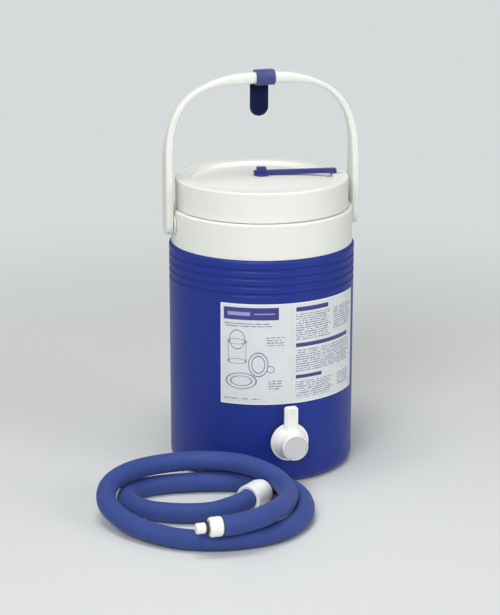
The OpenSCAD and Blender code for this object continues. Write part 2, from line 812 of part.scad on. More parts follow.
module hose_sleeve() {
    color("#f3f0e6") on_sleeve() difference() {
        union() {
            rotate_extrude() column_2d(sleeve_r, 0, sleeve_l, 1, 1);
            translate([0, 0, sleeve_l - 1]) cylinder(r = hose_spigot_r, h = hose_spigot_l + 1);
        }
        translate([0, 0, -1]) cylinder(r = hose_r + gap, h = sleeve_cup + 1);
        cylinder(r = hose_bore_r, h = sleeve_l + hose_spigot_l + 1);
    }
}

// Stands children, drawn along +Z, on the coupler's axis with +Z pointing out of the hose
module on_coupler() {
    translate(coupler_at) rotate([0, -90, 0]) children();
}

module hose_coupler() {
    color("#f3f0e6") on_coupler() difference() {
        rotate_extrude() column_2d(coupler_r, 0, coupler_l, 3, 2.6);
        translate([0, 0, -1]) cylinder(r = water_r, h = coupler_l + 2);
        translate([0, 0, coupler_l - neck_seat]) cylinder(r = neck_r + run, h = neck_seat + 1);
    }
}

module coupler_nipple() {
    color("#f3f0e6") on_coupler() difference() {
        union() {
            translate([0, 0, coupler_l - neck_seat + gap]) cylinder(r = neck_r, h = neck_seat + neck_l + 1);
            translate([0, 0, coupler_l + neck_l]) rotate_extrude() round_end(nipple_r, 0, nipple_l, 1);
        }
        cylinder(r = water_r, h = coupler_l + neck_l + nipple_l + 1);
    }
}

module coupler_ring() {
    color("#3a3a3a") on_coupler() translate([0, 0, coupler_l + neck_l / 2]) rotate_extrude()
        translate([neck_r + seal_r + run, 0]) circle(seal_r);
}

echo("least gap between the hose's own turns, mm", own_gap(smooth(hose_route, gap_split), hose_r, gap_apart));  // hose_tube
outer_shell();
foam_core();
inner_liner();
base_plug();
collar();
trunnion_right();
trunnion_left();
front_label();
handle();
handle_strap();
strap_tab();
lid_shell();
lid_foam();
lid_pan();
lid_gasket();
vent_lever();
vent_stopper();
vent_pin();
outlet_body();
outlet_gasket();
outlet_washer();
outlet_locknut();
outlet_tap();
tap_ring();
outlet_stopper();
hose_tube();
hose_sleeve();
hose_coupler();
coupler_nipple();
coupler_ring();
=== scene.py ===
"""Looks of a gravity-fed hot and cold therapy cooler.

The cooler is an insulated jug with its bail, lid and tap, and a foam-covered hose beside it.
"""

import logging
import math
from collections.abc import Callable, Sequence
from dataclasses import dataclass, field
from enum import Enum
from functools import cache, reduce

import bmesh
import bpy
from mathutils import Matrix, Vector


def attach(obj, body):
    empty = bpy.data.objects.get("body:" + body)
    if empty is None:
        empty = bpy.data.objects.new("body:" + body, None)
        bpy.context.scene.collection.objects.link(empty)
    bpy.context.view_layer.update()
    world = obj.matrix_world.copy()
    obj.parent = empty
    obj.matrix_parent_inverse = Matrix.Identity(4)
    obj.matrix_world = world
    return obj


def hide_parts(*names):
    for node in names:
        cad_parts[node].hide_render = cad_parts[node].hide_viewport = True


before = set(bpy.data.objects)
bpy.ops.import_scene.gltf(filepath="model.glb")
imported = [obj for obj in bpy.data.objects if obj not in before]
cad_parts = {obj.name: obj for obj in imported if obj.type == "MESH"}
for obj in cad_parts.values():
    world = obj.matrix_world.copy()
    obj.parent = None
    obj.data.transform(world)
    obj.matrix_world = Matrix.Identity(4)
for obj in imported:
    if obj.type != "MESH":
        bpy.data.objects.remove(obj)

MM = 0.001
log = logging.getLogger("cooler")

Point = tuple[float, float, float]
Colour = tuple[float, float, float]
Place = tuple[Vector, Vector]
Station = tuple[Vector, Vector, float, float]
Piece = bpy.types.Object
Socket = bpy.types.NodeSocket


class Body(Enum):
    """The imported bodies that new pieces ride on, by name."""

    JUG = "jug"
    HANDLE = "handle"
    STRAP_TAB = "strap_tab"


class Grain(Enum):
    """How a plastic surface was left by its mould: bump strength and grain size per metre."""

    POLISHED = (0.004, 900.0)
    SATIN = (0.020, 1500.0)
    SPARKED = (0.060, 2200.0)


def srgb(red: int, green: int, blue: int) -> Colour:
    """Turns a colour as seen on screen into the linear values that shaders take.

    Args:
        red: Red from 0 to 255.
        green: Green from 0 to 255.
        blue: Blue from 0 to 255.

    Returns:
        The three linear values.
    """
    def linear(value: int) -> float:
        """Undoes the screen's curve for one channel."""
        part = value / 255.0
        return part / 12.92 if part <= 0.04045 else ((part + 0.055) / 1.055) ** 2.4

    return linear(red), linear(green), linear(blue)


# ---------------------------------------------------------------- bench: modelling by hand


class Bench:
    """Keeps the habits of modelling by hand in one place: add, shape, finish and join."""

    @staticmethod
    def clear() -> None:
        """Leaves edit mode and deselects everything."""
        if bpy.context.mode != "OBJECT":
            bpy.ops.object.mode_set(mode="OBJECT")
        bpy.ops.object.select_all(action="DESELECT")

    @staticmethod
    def hold(piece: Piece) -> None:
        """Selects one piece and nothing else."""
        Bench.clear()
        piece.select_set(True)
        bpy.context.view_layer.objects.active = piece

    @staticmethod
    def named(piece: Piece, name: str) -> Piece:
        """Gives a piece and its data their name."""
        piece.name = name
        piece.data.name = name
        return piece

    @staticmethod
    def add(operator: Callable[..., set[str]], name: str, **settings: object) -> Piece:
        """Adds an object with nothing else selected, and names it.

        Args:
            operator: The operator that adds it.
            name: Its name.
            **settings: What the operator is told.

        Returns:
            The new object.
        """
        Bench.clear()
        operator(**settings)
        return Bench.named(bpy.context.active_object, name)

    @staticmethod
    def shape(piece: Piece, move: Callable[[Vector], Vector]) -> None:
        """Moves every vertex of a piece to where a function puts it.

        Args:
            piece: The object, in object mode.
            move: Takes a vertex's place and gives its new one.
        """
        for vertex in piece.data.vertices:
            vertex.co = move(vertex.co.copy())
        piece.data.update()

    @staticmethod
    def apply_modifiers(piece: Piece) -> None:
        """Applies every modifier of a piece, in order."""
        Bench.hold(piece)
        for modifier in list(piece.modifiers):
            bpy.ops.object.modifier_apply(modifier=modifier.name)

    @staticmethod
    def settle(piece: Piece, smooth_angle: float = 40.0) -> Piece:
        """Finishes a mesh: place into the mesh, normals outwards, smooth where it is round.

        Args:
            piece: The object.
            smooth_angle: Edges flatter than this many degrees are shaded smooth.

        Returns:
            The same object.
        """
        Bench.hold(piece)
        bpy.ops.object.transform_apply(location=True, rotation=True, scale=True)
        bpy.ops.object.mode_set(mode="EDIT")
        bpy.ops.mesh.select_all(action="SELECT")
        bpy.ops.mesh.remove_doubles(threshold=1e-6)
        bpy.ops.mesh.normals_make_consistent(inside=False)
        bpy.ops.object.mode_set(mode="OBJECT")
        bpy.ops.object.shade_smooth_by_angle(angle=math.radians(smooth_angle))
        Bench.clear()
        return piece

    @staticmethod
    def cloth(sheet: Piece, thickness: float, edge: float = 0.0) -> Piece:
        """Gives a sheet its thickness, on the outside of its faces, and finishes it.

        Args:
            sheet: The sheet.
            thickness: Its thickness in millimetres.
            edge: Width of its rounded edges in millimetres, or 0 where they stay sharp.

        Returns:
            The same object.
        """
        wall = sheet.modifiers.new("wall", "SOLIDIFY")
        wall.thickness = thickness * MM
        wall.offset = 1.0
        if edge > 0.0:
            round_off = sheet.modifiers.new("round", "BEVEL")
            round_off.width = edge * MM
            round_off.segments = 2
            round_off.limit_method = "ANGLE"
        Bench.settle(sheet)
        Bench.apply_modifiers(sheet)
        return Bench.settle(sheet, smooth_angle=60.0)

    @staticmethod
    def join(pieces: Sequence[Piece], name: str) -> Piece:
        """Joins pieces into one object.

        Args:
            pieces: The objects, of which the first one keeps its materials' order.
            name: The name of the joined piece.

        Returns:
            The joined object.
        """
        Bench.clear()
        for piece in pieces:
            piece.select_set(True)
        bpy.context.view_layer.objects.active = pieces[0]
        bpy.ops.object.join()
        return Bench.named(bpy.context.active_object, name)


def squircle(half_a: float, half_b: float, power: float, angle: float) -> tuple[float, float]:
    """Point of a superellipse.

    Args:
        half_a: Half its width.
        half_b: Half its height.
        power: 2 is an ellipse, and more is squarer.
        angle: Where on it, in radians.

    Returns:
        The two coordinates.
    """
    def part(half: float, value: float) -> float:
        """One coordinate."""
        return half * math.copysign(abs(value) ** (2.0 / power), value)

    return part(half_a, math.cos(angle)), part(half_b, math.sin(angle))


def between(value: float, table: Sequence[tuple[float, float]]) -> float:
    """Reads a value from a table of rising pairs, straight lines between them.

    Args:
        value: What to look up.
        table: The pairs.

    Returns:
        The value found, or that of the nearest end.
    """
    if value <= table[0][0]:
        return table[0][1]
    for (x0, y0), (x1, y1) in zip(table, table[1:]):
        if value <= x1:
            return y0 + (y1 - y0) * (value - x0) / (x1 - x0)
    return table[-1][1]


# ---------------------------------------------------------------- shader workshop


class ShaderTree:
    """A node tree with short calls for the nodes that the finishes use."""

    def __init__(self, tree: bpy.types.NodeTree) -> None:
        """Takes over a tree."""
        self.tree = tree

    def node(self, kind: str, **settings: object) -> bpy.types.Node:
        """Adds a node.

        Args:
            kind: Its Blender type name.
            **settings: Properties to set on it.

        Returns:
            The node.
        """
        made = self.tree.nodes.new(kind)
        for key, value in settings.items():
            setattr(made, key, value)
        return made

    def find(self, kind: str) -> bpy.types.Node:
        """The node that the tree already has, by the start of its type."""
        return next(node for node in self.tree.nodes if node.type.startswith(kind))

    def feed(self, socket: Socket, value: object) -> None:
        """Links a socket to an input, or sets the input's plain value."""
        if isinstance(value, Socket):
            self.tree.links.new(value, socket)
        else:
            socket.default_value = value

    def fill(self, node: bpy.types.Node, **values: object) -> bpy.types.Node:
        """Feeds several inputs of a node.

        Args:
            node: The node.
            **values: Its inputs, with underscores for spaces.

        Returns:
            The same node.
        """
        for key, value in values.items():
            self.feed(node.inputs[key.replace("_", " ")], value)
        return node

    def math(self, operation: str, first: object, second: object = 0.0, third: object = 0.0,
             clamp: bool = False) -> Socket:
        """Adds a Math node.

        Args:
            operation: Its operation.
            first: First value or socket.
            second: Second value or socket.
            third: Third value or socket.
            clamp: Whether the result stays from 0 to 1.

        Returns:
            Its output.
        """
        made = self.node("ShaderNodeMath", operation=operation, use_clamp=clamp)
        for socket, value in zip(made.inputs, (first, second, third)):
            self.feed(socket, value)
        return made.outputs[0]

    def fold(self, operation: str, *values: object) -> Socket:
        """Joins several values by one operation, from the first to the last."""
        return reduce(lambda first, second: self.math(operation, first, second), values)

    def within(self, value: Socket, low: object, high: object) -> Socket:
        """1 where a value lies between two others, and 0 elsewhere."""
        return self.math("MULTIPLY", self.math("GREATER_THAN", value, low),
                         self.math("LESS_THAN", value, high))

    def mix(self, factor: object, low: object, high: object) -> Socket:
        """Mixes two colours by a factor."""
        made = self.node("ShaderNodeMix", data_type="RGBA")
        self.feed(made.inputs[0], factor)
        self.feed(made.inputs[6], low if isinstance(low, Socket) else (*low, 1.0))
        self.feed(made.inputs[7], high if isinstance(high, Socket) else (*high, 1.0))
        return made.outputs[2]

    def scale(self, colour: Socket, level: Socket) -> Socket:
        """Makes a colour lighter or darker by a factor."""
        made = self.node("ShaderNodeVectorMath", operation="SCALE")
        self.feed(made.inputs[0], colour)
        self.feed(made.inputs["Scale"], level)
        return made.outputs[0]

    def split(self, vector: Socket) -> bpy.types.NodeOutputs:
        """Splits a vector into its X, Y and Z."""
        made = self.node("ShaderNodeSeparateXYZ")
        self.feed(made.inputs[0], vector)
        return made.outputs

    def ramp(self, value: object, low: float, high: float, to_low: float = 0.0,
             to_high: float = 1.0) -> Socket:
        """Maps a range smoothly onto another and stays inside it."""
        made = self.node("ShaderNodeMapRange", interpolation_type="SMOOTHSTEP")
        self.fill(made, Value=value, From_Min=low, From_Max=high, To_Min=to_low, To_Max=to_high)
        return made.outputs["Result"]

    def noise(self, vector: object, scale: object, detail: float = 3.0, roughness: float = 0.5,
              stretch: Point | None = None) -> Socket:
        """Adds a noise over object coordinates, stretched if asked.

        Args:
            vector: The coordinates.
            scale: Its scale.
            detail: Its detail.
            roughness: Its roughness.
            stretch: Scale of the coordinates along each axis.

        Returns:
            The noise's value.
        """
        if stretch is not None:
            mapping = self.fill(self.node("ShaderNodeMapping"), Vector=vector, Scale=stretch)
            vector = mapping.outputs["Vector"]
        made = self.node("ShaderNodeTexNoise")
        self.fill(made, Vector=vector, Scale=scale, Detail=detail, Roughness=roughness)
        return made.outputs["Fac"]

    def cells(self, vector: Socket, scale: object) -> Socket:
        """Adds round cells and gives the distance from their middles."""
        made = self.node("ShaderNodeTexVoronoi", feature="F1")
        return self.fill(made, Vector=vector, Scale=scale).outputs["Distance"]

    def place(self) -> Socket:
        """The coordinates on the piece itself."""
        return self.node("ShaderNodeTexCoord").outputs["Object"]

    def seen(self) -> Socket:
        """1 where the camera looks straight at the surface, and 0 for all other light."""
        return self.node("ShaderNodeLightPath").outputs["Is Camera Ray"]

    def group(self, tree: bpy.types.NodeTree, **values: object) -> bpy.types.Node:
        """Places a shared effect with its own values.

        Args:
            tree: The effect.
            **values: Its inputs, with underscores for spaces.

        Returns:
            The group node.
        """
        return self.fill(self.node("ShaderNodeGroup", node_tree=tree), **values)

    def bump(self, shader: bpy.types.Node, height: Socket, strength: float,
             distance: float) -> None:
        """Feeds a height into a shader's normal.

        Args:
            shader: The Principled node.
            height: The height.
            strength: How much of it shows.
            distance: Its depth in metres.
        """
        bump = self.fill(self.node("ShaderNodeBump"), Strength=strength, Distance=distance,
                         Height=height)
        self.feed(shader.inputs["Normal"], bump.outputs["Normal"])

    def blend(self, factor: Socket, first: Socket, second: Socket) -> None:
        """Mixes two shaders by a factor and sends them to the tree's output.

        Args:
            factor: 0 for the first shader and 1 for the second.
            first: The first shader.
            second: The second shader.
        """
        made = self.node("ShaderNodeMixShader")
        for socket, value in zip(made.inputs, (factor, first, second)):
            self.feed(socket, value)
        self.feed(self.find("OUTPUT_").inputs["Surface"], made.outputs["Shader"])


def open_material(name: str) -> tuple[bpy.types.Material, ShaderTree, bpy.types.Node]:
    """Makes a material that holds only its Principled shader.

    Args:
        name: The material's name.

    Returns:
        The material, its tree and its Principled node.
    """
    material = bpy.data.materials.new(name)
    material.use_nodes = True
    work = ShaderTree(material.node_tree)
    return material, work, work.find("BSDF_PRINCIPLED")


class Effects:
    """Shader node groups that several finishes share, each built once."""

    ON_LABEL: dict[str, object] = {"Across": 0.0, "Up": 0.0}
    IN_BOX: dict[str, object] = {**ON_LABEL, "Left": 0.0, "Right": 1.0, "Low": 0.0, "High": 1.0}

    @staticmethod
    def _start(name: str, inputs: dict[str, object], outputs: Sequence[str]
               ) -> tuple[ShaderTree, dict[str, Socket], bpy.types.Node]:
        """Opens a new group with its sockets, whose types follow from what they hold.

        Args:
            name: The group's name.
            inputs: Default of each input: None for a vector, four numbers for a colour, or
                one number.
            outputs: The outputs, of which "Colour" is a colour and any other a number.

        Returns:
            The tree, the group's inputs by name, and its output node.
        """
        tree = bpy.data.node_groups.new(name, "ShaderNodeTree")
        for key, value in inputs.items():
            kind = "Vector" if value is None else "Color" if isinstance(value, tuple) else "Float"
            socket = tree.interface.new_socket(name=key, in_out="INPUT",
                                               socket_type=f"NodeSocket{kind}")
            if value is not None:
                socket.default_value = value
        for key in outputs:
            kind = "Color" if key == "Colour" else "Float"
            tree.interface.new_socket(name=key, in_out="OUTPUT", socket_type=f"NodeSocket{kind}")
        work = ShaderTree(tree)
        start = work.node("NodeGroupInput")
        return work, {socket.name: socket for socket in start.outputs}, work.node("NodeGroupOutput")

    @staticmethod
    @cache
    def moulded_skin() -> bpy.types.NodeTree:
        """Moulded plastic: fine grain, faint clouds of shade, and rubbed, shiny patches."""
        work, into, end = Effects._start(
            "moulded_skin",
            {"Place": None, "Colour": (0.8, 0.8, 0.8, 1.0), "Grain Scale": 1500.0, "Clouds": 0.05,
             "Roughness": 0.4, "Scuffs": 0.1},
            ("Colour", "Roughness", "Height"))
        place = into["Place"]
        cloud = work.noise(place, scale=14.0, detail=4.0)
        grain = work.noise(place, into["Grain Scale"], detail=2.0)
        ripple = work.noise(place, scale=60.0, detail=1.0)
        scratch = work.noise(place, scale=260.0, detail=2.0, stretch=(1.0, 1.0, 0.12))
        scratch = work.ramp(scratch, 0.63, 0.72)
        patch = work.ramp(work.noise(place, scale=22.0), 0.5, 0.68)
        scuff = work.fold("MULTIPLY", scratch, patch, into["Scuffs"])
        level = work.math("MULTIPLY_ADD", work.math("SUBTRACT", cloud, 0.5), into["Clouds"], 1.0)
        level = work.math("ADD", level, work.math("MULTIPLY", scuff, 0.35))
        rough = work.math("SUBTRACT", patch, 0.4)
        rough = work.math("MULTIPLY_ADD", rough, 0.05, into["Roughness"])
        rough = work.math("ADD", rough, work.math("MULTIPLY", scuff, 0.5), clamp=True)
        height = work.math("ADD", grain, work.math("MULTIPLY", ripple, 0.8))
        height = work.math("SUBTRACT", height, work.math("MULTIPLY", scuff, 2.0))
        work.fill(end, Colour=work.scale(into["Colour"], level), Roughness=rough, Height=height)
        return work.tree

    @staticmethod
    @cache
    def dust() -> bpy.types.NodeTree:
        """A mask that is strong low down on a piece and breaks up as it rises."""
        work, into, end = Effects._start(
            "dust", {"Place": None, "Low": 0.0, "High": 0.02}, ("Mask",))
        height = work.split(into["Place"])["Z"]
        reach = work.math("SUBTRACT", into["High"], into["Low"])
        rise = work.math("DIVIDE", work.math("SUBTRACT", height, into["Low"]), reach)
        ragged = work.noise(into["Place"], scale=120.0, detail=5.0, roughness=0.6)
        fade = work.math("SUBTRACT", work.math("ADD", ragged, 0.45), rise, clamp=True)
        work.fill(end, Mask=work.ramp(fade, 0.25, 0.9))
        return work.tree

    @staticmethod
    @cache
    def foam_skin() -> bpy.types.NodeTree:
        """Closed-cell foam cover: fine pores, soft lumps and rubbed, paler high spots."""
        work, into, end = Effects._start(
            "foam_skin", {"Place": None, "Colour": (0.1, 0.1, 0.4, 1.0), "Pore Scale": 1400.0},
            ("Colour", "Roughness", "Height"))
        cells = work.ramp(work.cells(into["Place"], into["Pore Scale"]), 0.1, 0.55)
        lumps = work.noise(into["Place"], scale=95.0)
        bloom = work.noise(into["Place"], scale=38.0, detail=4.0, roughness=0.6)
        bloom = work.ramp(bloom, 0.42, 0.75)
        level = work.math("ADD", work.math("MULTIPLY", cells, 0.10), 0.93)
        level = work.math("ADD", level, work.math("MULTIPLY", bloom, 0.10))
        work.fill(end, Colour=work.scale(into["Colour"], level),
                  Roughness=work.math("MULTIPLY_ADD", bloom, -0.08, 0.72),
                  Height=work.math("ADD", cells, work.math("MULTIPLY", lumps, 2.2)))
        return work.tree

    @staticmethod
    @cache
    def loop_pile() -> bpy.types.NodeTree:
        """Brushed loop fabric of a strap: short curled fibres over a ribbed ground, with painted
        shade in its low spots.
        """
        work, into, end = Effects._start(
            "loop_pile",
            {"Place": None, "Dark": (0.02, 0.02, 0.1, 1.0), "Light": (0.08, 0.08, 0.25, 1.0),
             "Rib Pitch": 0.0009},
            ("Colour", "Height"))
        place = into["Place"]
        turns = work.math("DIVIDE", work.split(place)["X"], into["Rib Pitch"])
        rib = work.math("SINE", work.math("MULTIPLY", turns, math.tau))
        rib = work.math("MULTIPLY_ADD", rib, 0.5, 0.5)
        fibre = work.noise(place, scale=2600.0, roughness=0.7)
        tuft = work.noise(place, scale=900.0, roughness=0.65)
        height = work.math("ADD", work.math("MULTIPLY", rib, 0.45), work.math("ADD", fibre, tuft))
        worn = work.ramp(work.noise(place, scale=120.0), 0.45, 0.75)
        # Colour follows the height: the ribs' valleys and the low fibres are painted darker as
        # shade between them, and worn spots are paler.
        shade = work.math("MULTIPLY_ADD", work.math("SUBTRACT", height, 1.0), 0.55, 0.25)
        shade = work.math("ADD", shade, work.math("MULTIPLY", worn, 0.22), clamp=True)
        work.fill(end, Colour=work.mix(shade, into["Dark"], into["Light"]), Height=height)
        return work.tree

    @staticmethod
    @cache
    def panel() -> bpy.types.NodeTree:
        """Mask of a rectangle on the label, in millimetres across and up."""
        work, into, end = Effects._start("panel", Effects.IN_BOX, ("Mask",))
        inside = work.within(into["Across"], into["Left"], into["Right"])
        level = work.within(into["Up"], into["Low"], into["High"])
        work.fill(end, Mask=work.math("MULTIPLY", inside, level))
        return work.tree

    @staticmethod
    @cache
    def rule_lines() -> bpy.types.NodeTree:
        """Mask of a block of plain dashed lines, which stand for fine print without any words."""
        work, into, end = Effects._start("rule_lines", {**Effects.IN_BOX, "Pitch": 2.4}, ("Mask",))
        row = work.math("DIVIDE", into["Up"], into["Pitch"])
        number = work.math("FLOOR", row)
        thin = work.math("LESS_THAN", work.math("FRACT", row), 0.42)
        rand = work.fill(work.node("ShaderNodeTexWhiteNoise", noise_dimensions="1D"), W=number)
        short = work.math("MULTIPLY", rand.outputs["Value"], 7.0)
        pair = work.fill(work.node("ShaderNodeCombineXYZ"),
                         X=work.math("MULTIPLY", into["Across"], 0.62),
                         Y=work.math("MULTIPLY", number, 3.7))
        dashes = work.node("ShaderNodeTexNoise", noise_dimensions="2D")
        work.fill(dashes, Vector=pair.outputs[0], Scale=1.0, Detail=1.0)
        solid = work.math("GREATER_THAN", dashes.outputs["Fac"], 0.42)
        inside = work.within(into["Across"], into["Left"],
                             work.math("SUBTRACT", into["Right"], short))
        level = work.within(into["Up"], into["Low"], into["High"])
        work.fill(end, Mask=work.math("MULTIPLY", work.math("MULTIPLY", inside, level),
                                      work.math("MULTIPLY", thin, solid)))
        return work.tree

    @staticmethod
    @cache
    def ring() -> bpy.types.NodeTree:
        """Mask of a drawn ellipse line on the label."""
        work, into, end = Effects._start(
            "ring",
            {**Effects.ON_LABEL, "Centre Across": 0.0, "Centre Up": 0.0, "Wide": 5.0, "Tall": 5.0,
             "Line": 0.1},
            ("Mask",))
        x, y = (work.math("DIVIDE", work.math("SUBTRACT", into[way], into["Centre " + way]),
                          into[size]) for way, size in (("Across", "Wide"), ("Up", "Tall")))
        square = work.math("ADD", work.math("MULTIPLY", x, x), work.math("MULTIPLY", y, y))
        far = work.math("ABSOLUTE", work.math("SUBTRACT", work.math("SQRT", square), 1.0))
        work.fill(end, Mask=work.math("LESS_THAN", far, into["Line"]))
        return work.tree


# ---------------------------------------------------------------- finishes


class Finish:
    """Base of the finishes."""

    name: str

    def build(self) -> bpy.types.Material:
        """Builds the material."""
        raise NotImplementedError


@dataclass(frozen=True)
class MouldedPlastic(Finish):
    """Injection-moulded or blow-moulded plastic."""

    name: str
    colour: Colour
    roughness: float
    grain: Grain
    clouds: float = 0.05
    scuffs: float = 0.15
    subsurface: float = 0.0
    dust_height: float = 0.0
    specular: float = 0.5
    dust_colour: Colour = field(default_factory=lambda: srgb(150, 146, 138))

    def build(self) -> bpy.types.Material:
        """Builds grain, clouds and scuffs over the plastic's colour, and dust near the floor."""
        material, work, shader = open_material(self.name)
        place = work.place()
        strength, scale = self.grain.value
        skin = work.group(Effects.moulded_skin(), Place=place, Colour=(*self.colour, 1.0),
                          Grain_Scale=scale, Clouds=self.clouds, Roughness=self.roughness,
                          Scuffs=self.scuffs)
        colour = skin.outputs["Colour"]
        rough = skin.outputs["Roughness"]
        if self.dust_height > 0.0:
            dust = work.group(Effects.dust(), Place=place, Low=0.0, High=self.dust_height)
            mask = work.math("MULTIPLY", dust.outputs["Mask"], 0.22)
            colour = work.mix(mask, colour, self.dust_colour)
            rough = work.math("MULTIPLY_ADD", mask, 0.5, rough, clamp=True)
        work.fill(shader, Base_Color=colour, Roughness=rough, Specular_IOR_Level=self.specular,
                  Subsurface_Weight=self.subsurface, Subsurface_Radius=(0.004, 0.0035, 0.003),
                  Subsurface_Scale=0.5)
        work.bump(shader, skin.outputs["Height"], strength, 0.0004)
        return material


@dataclass(frozen=True)
class FoamCover(Finish):
    """Soft foam sleeve over the hose."""

    name: str
    colour: Colour
    pore_scale: float = 1400.0

    def build(self) -> bpy.types.Material:
        """Builds pores, lumps and a soft sheen."""
        material, work, shader = open_material(self.name)
        foam = work.group(Effects.foam_skin(), Place=work.place(), Colour=(*self.colour, 1.0),
                          Pore_Scale=self.pore_scale)
        work.fill(shader, Base_Color=foam.outputs["Colour"], Roughness=foam.outputs["Roughness"],
                  Specular_IOR_Level=0.35, Sheen_Weight=0.12, Sheen_Roughness=0.45,
                  Sheen_Tint=(0.55, 0.62, 1.0, 1.0))
        work.bump(shader, foam.outputs["Height"], 0.35, 0.0004)
        return material


@dataclass(frozen=True)
class LoopFabric(Finish):
    """Loop side of a hook-and-loop strap."""

    name: str
    dark: Colour
    light: Colour
    sheen: float = 0.5

    def build(self) -> bpy.types.Material:
        """Builds the pile."""
        material, work, shader = open_material(self.name)
        pile = work.group(Effects.loop_pile(), Place=work.place(), Dark=(*self.dark, 1.0),
                          Light=(*self.light, 1.0))
        work.fill(shader, Base_Color=pile.outputs["Colour"], Roughness=0.9, Specular_IOR_Level=0.2,
                  Sheen_Weight=self.sheen, Sheen_Roughness=0.4, Sheen_Tint=(0.6, 0.6, 1.0, 1.0))
        work.bump(shader, pile.outputs["Height"], 0.6, 0.0005)
        return material


@dataclass(frozen=True)
class SealRubber(Finish):
    """Black moulded rubber of washers, gaskets and rings."""

    name: str
    colour: Colour = (0.012, 0.012, 0.013)
    worn: Colour = (0.035, 0.035, 0.036)

    def build(self) -> bpy.types.Material:
        """Builds a matt grey bloom over the black."""
        material, work, shader = open_material(self.name)
        place = work.place()
        bloom = work.ramp(work.noise(place, scale=60.0, detail=4.0), 0.35, 0.8)
        work.fill(shader, Base_Color=work.mix(bloom, self.colour, self.worn),
                  Roughness=work.math("MULTIPLY_ADD", bloom, 0.2, 0.55))
        work.bump(shader, work.noise(place, scale=2400.0, detail=2.0), 0.1, 0.0002)
        return material


@dataclass(frozen=True)
class DrawnSteel(Finish):
    """Drawn steel pin with fine lines along its length."""

    name: str
    colour: Colour = (0.55, 0.55, 0.56)
    bright: Colour = (0.72, 0.72, 0.73)

    def build(self) -> bpy.types.Material:
        """Builds streaks along Y, the pin's length."""
        material, work, shader = open_material(self.name)
        streak = work.noise(work.place(), scale=900.0, stretch=(1.0, 0.05, 1.0))
        work.fill(shader, Base_Color=work.mix(streak, self.colour, self.bright), Metallic=1.0,
                  Roughness=work.math("MULTIPLY_ADD", streak, 0.25, 0.2))
        work.bump(shader, streak, 0.15, 0.0002)
        return material


@dataclass(frozen=True)
class CastFoam(Finish):
    """Poured insulation, seen only where the shell is open."""

    name: str
    colour: Colour

    def build(self) -> bpy.types.Material:
        """Builds cells and uneven yellowing."""
        material, work, shader = open_material(self.name)
        place = work.place()
        age = work.ramp(work.noise(place, scale=18.0, detail=4.0), 0.35, 0.7)
        pale = tuple(min(1.0, part * 1.25) for part in self.colour)
        work.fill(shader, Base_Color=work.mix(age, pale, self.colour), Roughness=0.85)
        work.bump(shader, work.cells(place, 700.0), 0.5, 0.0006)
        return material


